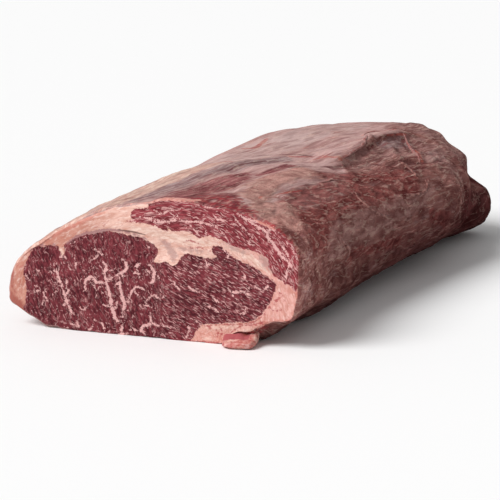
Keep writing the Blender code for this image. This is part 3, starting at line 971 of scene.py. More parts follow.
def placed(size, points):
    """Points in millimetres, pressed flat and moved to their place in the frame."""
    across = points[:, 0] * MM
    skew = np.tan(size.face_skew) * (across - size.face_hinge)
    skew *= 1.0 - points[:, 1] * MM / size.length
    result = points * MM
    result[:, 0] += size.middle_x
    result[:, 1] += skew + size.front_y
    result[:, 2] = np.maximum(0.0, result[:, 2] - size.pressed_flat)
    low = np.array(CAD_BOX[0])
    high = np.array(CAD_BOX[1])
    return np.clip(result, low, high)


def seen_places(size, placed_points):
    """Places in millimetres from the middle, the cut face and the table."""
    return (placed_points - np.array((size.middle_x, size.front_y, 0.0))) / MM


def face_places(size, placed_points, points):
    """Places across and up on the cut face, and for the far end on its smaller outline."""
    flat = np.stack((placed_points[:, 0] - size.middle_x, placed_points[:, 2]), axis=1) / MM
    far = points[:, 1] > 0.5 * size.length / MM
    flat[far] = flat[far] * np.array(FAR_FACE_SCALE)
    return flat


def rim_line(size):
    """The rim of the cut face, across and up, as it lies on the table."""
    angle = np.linspace(-math.pi, math.pi, 97)[:-1]
    rows = section_rows(np.zeros(len(angle)))
    points = outline_places(rows, angle, 0.0)[0]
    points += swollen(points)
    above_table = np.maximum(0.0, points[:, 2] - size.pressed_flat / MM)
    return np.stack((points[:, 0], above_table), axis=1)


def turned_places(x, z, degrees):
    """Places across and up, turned, with a third column of zeros."""
    turn = math.radians(degrees)
    along = x * math.cos(turn) + z * math.sin(turn)
    across = z * math.cos(turn) - x * math.sin(turn)
    return np.stack((along, across, x * 0.0), axis=1)


def grain_places(flat):
    """Places measured along and across the grain of the fat flecks."""
    x, z = flat.T
    right = turned_places(x, z, -25.0)
    left = turned_places(x, z, -70.0)
    beside = np.where(x < 28.0, (x - 28.0) / 1.6, x - 28.0)
    angle = np.arctan2(beside, z - 12.0)
    radius = np.hypot(beside, z - 12.0)
    cap = np.stack((angle * 72.0, radius, x * 0.0), axis=1)
    return left, right, cap


def dress_cut_faces(size, mesh, placed_points, points, on_end):
    """Stores where the lean, fat, veins and marks of the cut faces are."""
    flat = face_places(size, placed_points, points)
    near = on_end | (points[:, 1] < 8.0)
    here = flat[near]
    in_cap = depth_in_outline(here, CAP_OUTLINE)
    fields = {
        "lean": (depth_in_outline(here, LEAN_OUTLINE), -NO_LINE),
        "cap": (in_cap, -NO_LINE),
        "rim_depth": (distance_to_line(here, rim_line(size), closed=True), 0.0),
    }
    for name, lines in FACE_LINES.items():
        fields[name] = (nearest_line(here, lines), NO_LINE)
    for name, (values, elsewhere) in fields.items():
        whole = np.full(len(points), elsewhere)
        whole[near] = values
        add_values(mesh, name, whole)
    left, right, cap = grain_places(flat)
    share = ramp(flat[:, 0], 2.0, 10.0)
    add_values(mesh, "right_muscle", share)
    grain = np.where(share[:, None] > 0.5, right, left)
    cap_rows = np.zeros(len(points), dtype=bool)
    cap_rows[near] = in_cap > -3.0
    grain[cap_rows] = cap[cap_rows]
    add_vectors(mesh, "grain", grain)
    add_vectors(mesh, "band", cap)
    add_vectors(mesh, "face_place", np.stack((flat[:, 0], flat[:, 1] * 0.0, flat[:, 1]), axis=1))


def build_roast(size):
    """The roast's mesh, shaped and marked."""
    mesh = divided_block(size)
    block = np.round(read_places(mesh), 5)
    across, along, up = block.T
    places, insets = ring_places(size)
    ring = np.round(0.5 * (along + 1.0) * (len(places) - 1)).astype(int)
    rows = section_rows(places)[ring]
    inset = insets[ring]
    on_rim = np.maximum(np.abs(across), np.abs(up)) >= 1.0
    points, outward = outline_places(rows, rim_angles(across, up), inset)
    inner = ~on_rim
    points[inner] = end_places(rows[inner], across[inner], up[inner], inset[inner])
    outward[inner] = np.stack((0 * along, along, 0 * along), axis=1)[inner]
    points[:, 1] = places[ring]
    lump_height = np.where(on_rim, size.lump_height, size.face_lump_height) / MM
    lump = noise_at(points, size.lump_size / MM) * lump_height
    shaped = points + swollen(points) + outward * lump[:, None]
    on_end = inner | (inset > 0.0)
    shaped += fine_relief(points, seen_places(size, placed(size, shaped)), outward, on_end)
    flat_outward = rim_outward(across, up, rows, inset)
    shaped += flat_outward * rim_ragged(points)[:, None]
    result = placed(size, shaped)
    result[:, 2] += bottom_lift(points) * MM
    mesh.vertices.foreach_set("co", result.ravel())
    dress_cut_faces(size, mesh, result, points, on_end)
    seen = seen_places(size, result)
    for name, lines in SKIN_MARKS.items():
        add_values(mesh, name, mark_strength(seen, lines))
    add_values(mesh, "side", side_share(seen))
    add_values(mesh, "low", low_painted_shade(seen))
    add_values(mesh, "near_end", near_painted_light(seen))
    add_vectors(mesh, "skin_place", points - points[:, 1:2] * (0.14, 0.0, 0.0))
    mesh.update()
    last = len(places) - 1
    for polygon in mesh.polygons:
        rings = ring[list(polygon.vertices)]
        cut = rings.max() <= 1 or rings.min() >= last - 2
        polygon.material_index = 0 if cut else 1
    return mesh


class Sheet:
    """Places shader nodes from left to right and links them."""

    def __init__(self, tree):
        self.tree = tree
        self.count = 0

    def node(self, kind, **settings):
        made = self.tree.nodes.new(kind)
        column = self.count % NODE_COLUMNS
        row = self.count // NODE_COLUMNS
        made.location = (NODE_STEP[0] * column, NODE_STEP[1] * row)
        self.count += 1
        for name, value in settings.items():
            setattr(made, name, value)
        return made

    def feed(self, socket, value):
        if isinstance(value, bpy.types.NodeSocket):
            self.tree.links.new(value, socket)
        else:
            socket.default_value = value

    def fed(self, kind, inputs, **settings):
        """The outputs of a node, with its inputs fed by name or number."""
        made = self.node(kind, **settings)
        for name, value in inputs.items():
            self.feed(made.inputs[name], value)
        return made.outputs

    def math(self, operation, first, second=0.0, clamp=False):
        inputs = {0: first, 1: second}
        return self.fed("ShaderNodeMath", inputs, operation=operation, use_clamp=clamp)[0]

    def times(self, first, second, clamp=False):
        return self.math("MULTIPLY", first, second, clamp)

    def add(self, first, second, share=None, clamp=False):
        """The sum of two values, or of the first and a share of the second."""
        if share is not None:
            second = self.times(second, share)
        return self.math("ADD", first, second, clamp)

    def less(self, first, second):
        return self.math("SUBTRACT", first, second)

    def most(self, first, second):
        return self.math("MAXIMUM", first, second)

    def mix(self, share, first, second, blend="MIX"):
        inputs = {0: share, 6: first, 7: second}
        return self.fed("ShaderNodeMix", inputs, data_type="RGBA", blend_type=blend)[2]

    def laid(self, colour, tint, mask, strength):
        """A tint laid over a colour where its mask is."""
        return self.mix(self.times(mask, strength), colour, tint)

    def edge(self, value, low, high):
        """0 below low and 1 above high, smooth between; low may be the larger."""
        inputs = {"Value": value, "From Min": low, "From Max": high}
        return self.fed("ShaderNodeMapRange", inputs, interpolation_type="SMOOTHSTEP")["Result"]

    def scaled(self, vector, scale, offset=NOWHERE):
        """A vector scaled, by one number or by one for each axis, and moved."""
        if isinstance(scale, float):
            scale = (scale, scale, scale)
        inputs = {0: vector, 1: scale, 2: offset}
        return self.fed("ShaderNodeVectorMath", inputs, operation="MULTIPLY_ADD")[0]

    def noise(self, place, stretch, detail=2.0, roughness=0.5, distortion=0.0, shift=NOWHERE):
        """Noise over a place that is stretched and shifted first."""
        inputs = {
            "Vector": self.scaled(place, stretch, shift),
            "Scale": 1.0,
            "Detail": detail,
            "Roughness": roughness,
            "Distortion": distortion,
        }
        return self.fed("ShaderNodeTexNoise", inputs)["Fac"]

    def swirl(self, place, stretch, scale=1.0, detail=2.0):
        """Noise as a vector, to bend places with."""
        inputs = {"Vector": self.scaled(place, stretch), "Scale": scale, "Detail": detail}
        return self.fed("ShaderNodeTexNoise", inputs)["Color"]

    def ridges(self, place, stretch, scale, roughness):
        """Noise with sharp ridges."""
        inputs = {
            "Vector": self.scaled(place, stretch),
            "Scale": scale,
            "Detail": 6.0,
            "Roughness": roughness,
            "Offset": 0.9,
            "Gain": 1.6,
        }
        return self.fed("ShaderNodeTexNoise", inputs, noise_type="RIDGED_MULTIFRACTAL")["Fac"]

    def value(self, name):
        return self.node("ShaderNodeAttribute", attribute_name=name).outputs["Fac"]

    def vector(self, name):
        return self.node("ShaderNodeAttribute", attribute_name=name).outputs["Vector"]

    def place_mm(self):
        return self.scaled(self.node("ShaderNodeTexCoord").outputs["Object"], 1.0 / MM)

    def bump(self, height, strength, distance):
        inputs = {"Strength": strength, "Distance": distance, "Height": height}
        return self.fed("ShaderNodeBump", inputs)["Normal"]


def new_group(name, inputs, outputs):
    """An empty node group with named sockets, and its sheet and end nodes."""
    group = bpy.data.node_groups.new(name, "ShaderNodeTree")
    for way, sockets in (("INPUT", inputs), ("OUTPUT", outputs)):
        for label, kind in sockets.items():
            group.interface.new_socket(name=label, in_out=way, socket_type="NodeSocket" + kind)
    sheet = Sheet(group)
    given = sheet.node("NodeGroupInput")
    result = sheet.node("NodeGroupOutput")
    return group, sheet, given.outputs, result.inputs


def grain_scale(sheet, given, share):
    """One over the length and the width of a share of a grain."""
    sizes = {}
    for axis, name in enumerate(("Length", "Width")):
        sizes[axis] = sheet.math("DIVIDE", 1.0, sheet.times(given[name], share))
    return sheet.fed("ShaderNodeCombineXYZ", sizes)[0]


def marbling_group():
    """Grains of fat along a grain direction, bent, each with its own size."""
    group, sheet, given, result = new_group(
        "marbling",
        {
            "Grain": "Vector",
            "Length": "Float",
            "Width": "Float",
            "Size": "Float",
            "Amount": "Float",
            "Bend": "Float",
        },
        {"Mask": "Float"},
    )
    grain = given["Grain"]
    centred = sheet.scaled(sheet.swirl(grain, 0.19), 1.0, (-0.5, -0.5, -0.5))
    bent = sheet.scaled(centred, given["Bend"], grain)
    ragged = sheet.less(sheet.noise(grain, 1.3), 0.5)
    masks = []
    for share, shift in ((1.0, 0.0), (0.62, 31.7)):
        vector = sheet.scaled(bent, grain_scale(sheet, given, share), (shift, shift, 0.0))
        inputs = {"Vector": vector, "Scale": 1.0}
        cells = sheet.fed("ShaderNodeTexVoronoi", inputs, voronoi_dimensions="2D", feature="F1")
        draw = sheet.fed("ShaderNodeSeparateColor", {0: cells["Color"]})
        reach = sheet.times(sheet.add(0.45, draw[0], 0.75), given["Size"])
        apart = sheet.add(sheet.less(cells["Distance"], reach), ragged, 0.34)
        kept = sheet.edge(sheet.less(given["Amount"], draw[1]), -0.04, 0.04)
        masks.append(sheet.times(sheet.edge(apart, 0.06, -0.06), kept))
    drawn = sheet.scaled(bent, grain_scale(sheet, given, 1.5), (7.3, 2.9, 0.0))
    wavy = sheet.noise(drawn, 1.0, 3.0, 0.55, 0.6)
    apart = sheet.math("ABSOLUTE", sheet.less(wavy, 0.5))
    broken = sheet.edge(sheet.noise(drawn, 1.7), 0.44, 0.58)
    thread = sheet.times(sheet.times(sheet.edge(apart, 0.036, 0.006), broken), 0.6)
    sheet.feed(result["Mask"], sheet.most(sheet.most(masks[0], masks[1]), thread))
    return group


def fat_group():
    """Uneven fat: soft blotches, small lobes and faint red threads over a base colour."""
    group, sheet, given, result = new_group(
        "fat_tissue",
        {"Place": "Vector", "Base": "Color", "Thread": "Color"},
        {"Color": "Color", "Height": "Float"},
    )
    place = given["Place"]
    base = given["Base"]
    blotch = sheet.noise(place, (0.10, 0.26, 0.26), 4.0, 0.6, 0.6)
    darker = sheet.mix(1.0, base, (0.78, 0.62, 0.58, 1.0), "MULTIPLY")
    colour = sheet.mix(sheet.edge(blotch, 0.62, 0.32), base, darker)
    grain = sheet.noise(place, (0.24, 0.62, 0.62), 5.0, 0.66, 0.4)
    lighter = sheet.mix(0.30, base, (1.0, 0.90, 0.84, 1.0))
    colour = sheet.mix(sheet.edge(grain, 0.48, 0.70), colour, lighter)
    deeper = sheet.mix(1.0, base, (0.80, 0.60, 0.56, 1.0), "MULTIPLY")
    colour = sheet.laid(colour, deeper, sheet.edge(grain, 0.44, 0.28), 0.7)
    wavy = sheet.noise(place, (0.07, 0.24, 0.24), 3.0, 0.6, 0.8, shift=(3.0, 8.0, 1.0))
    threads = sheet.edge(sheet.math("ABSOLUTE", sheet.less(wavy, 0.5)), 0.022, 0.003)
    gate = sheet.edge(blotch, 0.44, 0.60)
    colour = sheet.laid(colour, given["Thread"], sheet.times(threads, gate), 0.45)
    sheet.feed(result["Color"], colour)
    sheet.feed(result["Height"], sheet.add(blotch, grain, 0.4))
    return group


def use_group(sheet, group, **values):
    """Places a group and gives its inputs, named as on the group."""
    return sheet.fed("ShaderNodeGroup", values, node_tree=group)


def new_material(name, roughness, specular):
    """A material, its sheet and its shader node."""
    material = bpy.data.materials.new(name)
    material.use_nodes = True
    shader = material.node_tree.nodes["Principled BSDF"]
    shader.inputs["Roughness"].default_value = roughness
    shader.inputs["Specular IOR Level"].default_value = specular
    return material, Sheet(material.node_tree), shader


def cut_face_material(colours, marbling, fat):
    """Marbled lean between seams and rims of fat."""
    material, sheet, shader = new_material("cut_face", 0.42, 0.12)
    place = sheet.vector("face_place")
    grain = sheet.vector("grain")
    right = sheet.value("right_muscle")
    depth = sheet.value("rim_depth")
    across = sheet.fed("ShaderNodeSeparateXYZ", {0: place})
    x = across[0]
    z = across[2]
    soft = sheet.less(sheet.noise(place, 0.36, 3.0), 0.5)
    tiny = sheet.less(sheet.noise(place, 1.3), 0.5)
    wobble = sheet.add(sheet.times(soft, 4.0), tiny, 2.0)
    frayed = sheet.add(sheet.times(soft, 9.0), tiny, 5.0)
    rough = sheet.add(sheet.times(soft, 4.2), tiny, 3.4)

    def marked(name, sway, low, high):
        return sheet.edge(sheet.add(sheet.value(name), sway), low, high)

    left_edge = sheet.edge(sheet.add(x, soft, 30.0), -18.0, -66.0)
    right_edge = sheet.edge(sheet.add(x, soft, 20.0), 40.0, 90.0)
    base = sheet.mix(left_edge, colours.cream_fat, colours.peach_fat)
    base = sheet.mix(right_edge, base, colours.salmon_fat)
    low = sheet.edge(sheet.add(z, soft, 14.0), 16.0, 5.0)
    low = sheet.times(low, sheet.edge(x, 26.0, 36.0))
    base = sheet.laid(base, colours.edge_fat, low, 0.7)
    outer = sheet.edge(sheet.add(depth, wobble, 1.6), 4.5, 0.5)
    base = sheet.laid(base, colours.edge_fat, outer, right_edge)
    base = sheet.laid(base, colours.edge_fat, marked("peach_line", wobble, 2.2, -1.2), 0.55)
    # Pale fat of the seams, and painted light on the lower fat at the right
    pale = marked("pale_fat", sheet.times(wobble, 1.5), 1.5, -1.5)
    base = sheet.laid(base, colours.pale_fat, pale, 0.8)
    tissue = use_group(sheet, fat, Place=sheet.vector("band"), Base=base, Thread=colours.raw_red)
    colour = tissue["Color"]
    colour = sheet.laid(colour, colours.grey_tissue, marked("grey_mark", frayed, 1.5, -1.5), 0.75)
    # Painted shade low on the left edge
    colour = sheet.laid(colour, colours.toe_shade, marked("toe_mark", wobble, 1.5, -1.5), 0.85)

    fibre = sheet.noise(grain, (0.22, 0.62, 0.62), 4.0, 0.62, 0.4)
    broad = sheet.less(sheet.noise(place, 0.055), 0.5)
    shade = sheet.edge(sheet.add(fibre, broad, 0.4), 0.34, 0.68)
    rib_eye = sheet.mix(shade, colours.lean_dark, colours.lean_light)
    cap_lean = sheet.mix(shade, colours.cap_dark, colours.cap_light)

    plain = sheet.times(sheet.times(sheet.edge(z, 40.0, 62.0), -0.09), sheet.less(1.0, right))
    amount = sheet.add(sheet.add(0.16, plain), right, 0.20)
    flecks = use_group(
        sheet, marbling,
        Grain=grain,
        Length=sheet.add(4.8, right, 2.8),
        Width=sheet.add(1.85, right, -0.5),
        Size=0.24,
        Amount=sheet.add(amount, broad, 0.35),
        Bend=sheet.add(10.0, right, -7.0),
    )["Mask"]
    cap_flecks = use_group(
        sheet, marbling,
        Grain=grain,
        Length=8.0,
        Width=1.6,
        Size=0.25,
        Amount=sheet.add(0.46, sheet.edge(x, 74.0, 98.0), 0.24),
        Bend=5.0,
    )["Mask"]
    bright = sheet.noise(place, 0.7, shift=(4.0, 4.0, 4.0))
    line_light = sheet.add(0.68, bright, 0.5, clamp=True)
    vein = sheet.times(marked("vein", rough, 0.34, -0.22), line_light)
    cap_line = sheet.times(marked("cap_line", rough, 0.14, -0.36), line_light)
    faded = sheet.times(flecks, sheet.add(0.42, bright, 0.6))
    rib_eye = sheet.mix(sheet.most(faded, vein), rib_eye, colours.vein)
    cap_faded = sheet.times(cap_flecks, sheet.add(0.36, bright, 0.6))
    cap_lean = sheet.mix(sheet.most(cap_faded, cap_line), cap_lean, colours.vein)
    colour = sheet.mix(marked("lean", wobble, -0.25, 0.35), colour, rib_eye)
    colour = sheet.mix(marked("cap", wobble, -0.25, 0.45), colour, cap_lean)

    colour = sheet.laid(colour, colours.raw_red, marked("raw_mark", wobble, 0.5, -0.5), 0.75)
    rim = sheet.edge(sheet.add(depth, wobble, 0.7), 1.9, 0.6)
    rim = sheet.times(rim, sheet.edge(x, 8.0, 36.0))
    colour = sheet.laid(colour, colours.raw_red, rim, 0.6)
    # Grey film with painted shade along the seam above the rib eye, then painted shade in its gap
    colour = sheet.laid(colour, colours.seam_film_and_shade, marked("seam_line", wobble, 0.5, -0.5), 0.75)
    colour = sheet.laid(colour, colours.gap, sheet.edge(sheet.value("dark_gap"), 0.45, -0.15), 0.8)
    sheet.feed(shader.inputs["Base Color"], colour)

    height = sheet.add(sheet.times(tissue["Height"], 0.6), fibre)
    height = sheet.add(height, sheet.most(flecks, vein), 0.5)
    sheet.feed(shader.inputs["Normal"], sheet.bump(height, 0.5, 0.0006))
    sheet.feed(shader.inputs["Roughness"], sheet.edge(fibre, -0.6, 1.9))
    return material


def skin_layer(
    sheet, colour, place, streak, name, light, dark, scale, threshold, strength, seed, softness
):
    """Lays one mark of the skin over the colour so far, two-toned by stretched noise."""
    warp = sheet.noise(place, (0.09, 0.035, 0.09), 5.0, 0.65, shift=(seed, seed, seed))
    tone = sheet.noise(place, scale, 4.0, 0.62, 0.5, shift=(seed, 2.0, seed))
    sway, streaked = SOFT_MARK if softness > SHARPEST_SOFT_MARK else SHARP_MARK
    level = sheet.add(sheet.value(name), sheet.less(warp, 0.5), sway)
    level = sheet.add(level, sheet.less(tone, 0.5), 0.5)
    level = sheet.add(level, streak, streaked)
    mask = sheet.edge(level, threshold - softness, threshold + softness)
    tones = sheet.mix(sheet.edge(tone, 0.36, 0.66), dark, light)
    return sheet.laid(colour, tones, mask, strength)


def web_group():
    """A tangle of pale threads over meat: 1 on a thread, 0 in the hollows between."""
    group, sheet, given, result = new_group(
        "thread_tangle", {"Place": "Vector", "Cell": "Float"}, {"Mask": "Float"}
    )
    sized = sheet.scaled(given["Place"], sheet.math("DIVIDE", 1.0, given["Cell"]))
    bent = sheet.scaled(sheet.swirl(sized, 1.0, 0.8, 3.0), 1.7, sized)
    ridge = sheet.ridges(bent, (1.0, 0.62, 1.0), 0.8, 0.62)
    sheet.feed(result["Mask"], sheet.times(ridge, 0.6, clamp=True))
    return group


def skin_material(colours, web):
    """Skin, fat and bare meat of the outside."""
    material, sheet, shader = new_material("fat_skin", 0.6, 0.0)
    place = sheet.vector("skin_place")
    streak = sheet.noise(place, (0.34, 0.022, 0.34), 4.0, 0.6, 0.3)
    cloud = sheet.noise(place, (0.07, 0.014, 0.07), 4.0, 0.6, 0.5, shift=(3.0, 1.0, 2.0))
    tone = sheet.add(sheet.times(streak, 0.35), cloud, 0.65)
    colour = sheet.mix(sheet.edge(tone, 0.36, 0.62), colours.skin_dark, colours.skin_light)

    film = sheet.noise(place, (0.07, 0.03, 0.05), 6.0, 0.66, 0.6, shift=(5.0, 1.0, 3.0))
    tangle = use_group(sheet, web, Place=place, Cell=10.0)["Mask"]
    curled = sheet.scaled(sheet.swirl(place, (0.05, 0.03, 0.05)), (34.0, 60.0, 34.0), place)
    fibres = sheet.noise(curled, (0.50, 0.10, 0.50), 5.0, 0.66, 0.3)
    both = sheet.add(sheet.add(sheet.times(film, 0.9), fibres, 0.55), tangle, 0.14)
    side_tone = sheet.mix(sheet.edge(both, 0.62, 0.98), colours.side_dark, colours.side_light)
    side = sheet.edge(sheet.add(sheet.value("side"), film, 0.5), 0.45, 0.80)
    colour = sheet.mix(side, colour, side_tone)

    fine = sheet.less(sheet.noise(place, (0.55, 0.030, 0.55), 3.0, 0.6, 0.2, (7.0, 3.0, 1.0)), 0.5)
    for name, light, dark, *settings in SKIN_LAYERS:
        tones = (getattr(colours, light), getattr(colours, dark))
        colour = skin_layer(sheet, colour, place, fine, name, *tones, *settings)

    thread = sheet.most(sheet.edge(tangle, 0.78, 0.98), sheet.edge(fibres, 0.56, 0.70))
    smooth = sheet.edge(sheet.value("dark_meat"), 0.60, 0.25)
    threads = sheet.times(sheet.times(thread, side), smooth)
    colour = sheet.laid(colour, colours.web, threads, 0.34)
    # Painted shade in the hollows between the raised threads and fibres of the side
    hollow = sheet.most(sheet.edge(tangle, 0.42, 0.10), sheet.edge(fibres, 0.42, 0.30))
    colour = sheet.laid(colour, colours.raw_dark, sheet.times(hollow, side), 0.34)
    wrinkle = sheet.ridges(place, (0.16, 0.045, 0.16), 1.0, 0.66)
    # Painted shade in the low parts of the wrinkles and painted highlight on their tops
    colour = sheet.laid(colour, colours.crease, sheet.edge(wrinkle, 0.75, 0.25), 0.28)
    colour = sheet.laid(colour, colours.cream_light, sheet.edge(wrinkle, 1.25, 1.6), 0.22)
    # Painted shade towards the table, and painted light on the side near the cut face
    low = sheet.laid(WHITE, LOW_SHADE, sheet.value("low"), 0.8)
    colour = sheet.mix(1.0, colour, low, "MULTIPLY")
    lit = sheet.laid(WHITE, NEAR_LIGHT, sheet.value("near_end"), side)
    colour = sheet.mix(1.0, colour, lit, "MULTIPLY")
    sheet.feed(shader.inputs["Base Color"], colour)

    pad = sheet.edge(sheet.value("fat_pad"), 0.30, 0.60)
    uneven = sheet.most(side, sheet.times(pad, 0.7))
    tangled = sheet.add(sheet.add(sheet.times(tangle, 0.6), fibres), film)
    tangled = sheet.add(sheet.times(tangled, uneven), wrinkle, 0.25)
    height = sheet.add(sheet.times(streak, 0.5), tangled)
    sheet.feed(shader.inputs["Normal"], sheet.bump(height, 0.8, 0.0014))
    return material


def build_flap(flap_size):
    """The flap's mesh: a thick tongue with a raised back and a hollow on top."""
    flap = bmesh.new()
    bmesh.ops.create_uvsphere(flap, u_segments=72, v_segments=44, radius=1.0)
    across = Vector((math.cos(flap_size.turn), math.sin(flap_size.turn), 0.0))
    along = Vector((-math.sin(flap_size.turn), math.cos(flap_size.turn), 0.0))
    raw = []
    hollow = []
    for vertex in flap.verts:
        x, y, z = (math.copysign(abs(value) ** FLAP_SQUARENESS, value) for value in vertex.co)
        dent = math.exp(-((x - 0.3) / 0.3) ** 2 - ((y - 0.1) / 0.45) ** 2)
        top = ramp(z, 0.1, 0.6)
        raw_top = top * ramp(y, -0.62, -0.42) * ramp(x, 0.7, 0.5)
        raw.append(max(raw_top, 0.5 * ramp(x, -0.6, -0.8)))
        hollow.append(top * dent)
        height = flap_size.height * (0.88 + 0.12 * x)
        height += flap_size.rise * ramp(x, 0.5, 0.9) * ramp(y, -0.2, 0.7)
        height += flap_size.back_rise * ramp(y, -0.5, 0.0) - flap_size.hollow * dent
        place = across * (0.5 * flap_size.width * x) + along * (0.5 * flap_size.depth * y)
        place += Vector((flap_size.middle[0], flap_size.middle[1], 0.5 * height * (1.0 + z)))
        bump = 0.7 * noise.noise(place / 0.0065) + 0.35 * noise.noise(place / 0.0026)
        place += Vector((x, y, 0.6 * z)).normalized() * (bump * MM)
        place.y = max(place.y, CAD_BOX[0][1])
        place.z = max(place.z, 0.0)
        vertex.co = place
    mesh = new_mesh("fat_flap", flap)
    add_values(mesh, "raw", raw)
    add_values(mesh, "hollow", hollow)
    return mesh


def flap_material(colours, fat):
    """Salmon fat of the flap, raw and red on top."""
    material, sheet, shader = new_material("flap_fat", 0.45, 0.12)
    place = sheet.place_mm()
    patch = sheet.noise(place, 0.16, 4.0, 0.6)
    base = sheet.mix(sheet.edge(patch, 0.42, 0.64), colours.flap_fat, colours.cream_fat)
    tissue = use_group(sheet, fat, Place=place, Base=base, Thread=colours.raw_red)
    speck = sheet.noise(place, (0.5, 0.5, 0.7), 4.0, 0.7)
    colour = sheet.laid(tissue["Color"], colours.raw_red, sheet.edge(speck, 0.50, 0.66), 0.5)
    level = sheet.add(sheet.value("raw"), sheet.less(speck, 0.5))
    colour = sheet.mix(sheet.edge(level, 0.3, 0.7), colour, colours.flap_raw)
    # Painted shade in the hollow on top
    colour = sheet.mix(sheet.edge(sheet.value("hollow"), 0.35, 0.8), colour, colours.flap_hollow_shade)
    sheet.feed(shader.inputs["Base Color"], colour)
    sheet.feed(shader.inputs["Normal"], sheet.bump(tissue["Height"], 0.5, 0.0006))
    return material


def tapered_strand(surface, size, line, radius):
    """A strand of tissue lying on the surface along a line, thin at both ends."""
    path = smooth_curve(line, 8) * MM + np.array((size.middle_x, size.front_y, 0.0))
    on_surface = []
    upward = []
    for place in path:
        nearest, normal = surface.find_nearest(Vector(place))[:2]
        on_surface.append(nearest)
        upward.append(normal)
    spine = np.array(on_surface)
    upward = np.array(upward)
    along = np.gradient(spine, axis=0)
    along /= np.linalg.norm(along, axis=1, keepdims=True)
    across = np.cross(along, upward)
    across /= np.linalg.norm(across, axis=1, keepdims=True)
    steps = np.arange(len(spine))

    def at_share(rows, share):
        return Vector([np.interp(share, steps, rows[:, axis]) for axis in range(3)])

    strand = bmesh.new()
    bmesh.ops.create_uvsphere(strand, u_segments=10, v_segments=56, radius=1.0)
    for vertex in strand.verts:
        share = 0.5 * (vertex.co.z + 1.0) * (len(spine) - 1)
        at = at_share(spine, share)
        thickness = radius * MM * (1.0 + 0.5 * noise.noise(at / 0.006))
        offset = at_share(across, share) * (1.3 * vertex.co.x)
        offset += at_share(upward, share) * (0.8 * vertex.co.y + 0.1)
        vertex.co = at + offset * thickness
    return new_mesh("strand", strand)


def strand_material(colours, pale):
    """Moist tissue of a strand, streaked with red."""
    material, sheet, shader = new_material("pale_strand" if pale else "red_strand", 0.5, 0.1)
    tone = sheet.noise(sheet.place_mm(), (0.5, 0.2, 0.5), 4.0, 0.6)
    light = colours.web if pale else colours.far_light
    dark = colours.side_dark if pale else colours.raw_light
    sheet.feed(shader.inputs["Base Color"], sheet.mix(sheet.edge(tone, 0.35, 0.65), dark, light))
    sheet.feed(shader.inputs["Normal"], sheet.bump(tone, 0.5, 0.0005))
    return material


def add_object(name, mesh):
    """An object for a mesh, in the scene."""
    made = bpy.data.objects.new(name, mesh)
    bpy.context.scene.collection.objects.link(made)
    return made


class ROAST_OT_add_roast(bpy.types.Operator):
    """Add the roast, with its cut faces and its outside"""

    bl_idname = "roast.add_roast"
    bl_label = "Add Roast"

    def execute(self, context):
        mesh = build_roast(context.scene.roast_size)
        marbling = marbling_group()
        fat = fat_group()
        mesh.materials.append(cut_face_material(context.scene.roast_colours, marbling, fat))
        mesh.materials.append(skin_material(context.scene.roast_colours, web_group()))
        roast = add_object("beef_roast", mesh)
        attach(roast, "root")
        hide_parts("rib_roast")
        return {"FINISHED"}


class ROAST_OT_add_flap(bpy.types.Operator):
    """Add the small flap of fat under the right corner of the cut face"""

    bl_idname = "roast.add_flap"
    bl_label = "Add Flap"

    def execute(self, context):
        mesh = build_flap(context.scene.flap_size)
        fat = bpy.data.node_groups["fat_tissue"]
        mesh.materials.append(flap_material(context.scene.roast_colours, fat))
        flap = add_object("fat_flap", mesh)
        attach(flap, "root")
        return {"FINISHED"}


class ROAST_OT_add_strands(bpy.types.Operator):
    """Add the loose strands of tissue on the top and the side"""

    bl_idname = "roast.add_strands"
    bl_label = "Add Strands"

    def execute(self, context):
        size = context.scene.roast_size
        roast = bpy.data.objects["beef_roast"]
        surface = BVHTree.FromObject(roast, context.evaluated_depsgraph_get())
        red = strand_material(context.scene.roast_colours, False)
        pale = strand_material(context.scene.roast_colours, True)
        for number, (is_pale, radius, line) in enumerate(STRANDS, start=1):
            mesh = tapered_strand(surface, size, line, radius)
            mesh.materials.append(pale if is_pale else red)
            strand = add_object(f"strand_{number:02d}", mesh)
            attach(strand, "root")
        return {"FINISHED"}


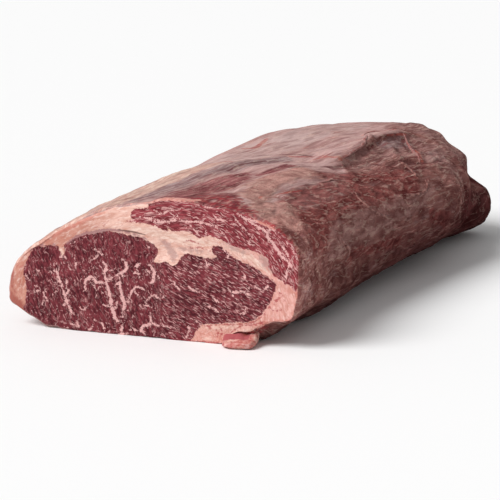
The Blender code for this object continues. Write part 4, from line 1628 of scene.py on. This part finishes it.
class ROAST_OT_add_stage(bpy.types.Operator):
    """Add the table, the light and the camera"""

    bl_idname = "roast.add_stage"
    bl_label = "Add Stage"

    def execute(self, context):
        stage = context.scene.roast_stage
        table = bmesh.new()
        bmesh.ops.create_grid(table, x_segments=1, y_segments=1, size=0.5 * stage.table_width)
        mesh = new_mesh("table", table)
        material, _, shader = new_material("pale_table", 0.7, 0.2)
        shader.inputs["Base Color"].default_value = stage.table_colour
        mesh.materials.append(material)
        add_object("table", mesh)

        light = bpy.data.lights.new("key", "SUN")
        light.energy = stage.key_strength
        light.angle = stage.key_softness
        key = bpy.data.objects.new("key", light)
        level = math.cos(stage.key_height)
        towards = Vector((
            -level * math.sin(stage.key_side),
            -level * math.cos(stage.key_side),
            math.sin(stage.key_height),
        ))
        key.rotation_euler = towards.to_track_quat("Z", "Y").to_euler()
        context.scene.collection.objects.link(key)

        world = bpy.data.worlds.new("soft_room")
        world.use_nodes = True
        room = world.node_tree.nodes["Background"]
        room.inputs["Color"].default_value = WHITE
        room.inputs["Strength"].default_value = stage.fill_strength
        context.scene.world = world
        context.scene.view_settings.view_transform = "Standard"

        lens = bpy.data.cameras.new("camera")
        lens.lens = stage.lens
        lens.sensor_width = 36.0
        camera = bpy.data.objects.new("camera", lens)
        camera.location = stage.camera_place
        camera.rotation_euler = (0.5 * math.pi - stage.camera_tilt, 0.0, stage.camera_turn)
        context.scene.collection.objects.link(camera)
        context.scene.camera = camera
        return {"FINISHED"}


class ROAST_PT_panel(bpy.types.Panel):
    """Lists the pieces of the roast"""

    bl_idname = "ROAST_PT_panel"
    bl_label = "Rib Roast"
    bl_space_type = "VIEW_3D"
    bl_region_type = "UI"
    bl_category = "Roast"

    def draw(self, context):
        column = self.layout.column()
        for operator in OPERATORS:
            column.operator(operator.bl_idname)


OPERATORS = (ROAST_OT_add_roast, ROAST_OT_add_flap, ROAST_OT_add_strands, ROAST_OT_add_stage)
GROUPS = (RoastSize, RoastColours, FlapSize, RoastStage)


def register():
    for kind in GROUPS + OPERATORS + (ROAST_PT_panel,):
        bpy.utils.register_class(kind)
    bpy.types.Scene.roast_size = PointerProperty(type=RoastSize)
    bpy.types.Scene.roast_colours = PointerProperty(type=RoastColours)
    bpy.types.Scene.flap_size = PointerProperty(type=FlapSize)
    bpy.types.Scene.roast_stage = PointerProperty(type=RoastStage)


def unregister():
    del bpy.types.Scene.roast_stage
    del bpy.types.Scene.flap_size
    del bpy.types.Scene.roast_colours
    del bpy.types.Scene.roast_size
    for kind in reversed(GROUPS + OPERATORS + (ROAST_PT_panel,)):
        bpy.utils.unregister_class(kind)


def main():
    register()
    bpy.ops.roast.add_roast()
    bpy.ops.roast.add_flap()
    bpy.ops.roast.add_strands()
    bpy.ops.roast.add_stage()


if __name__ == "__main__":
    main()
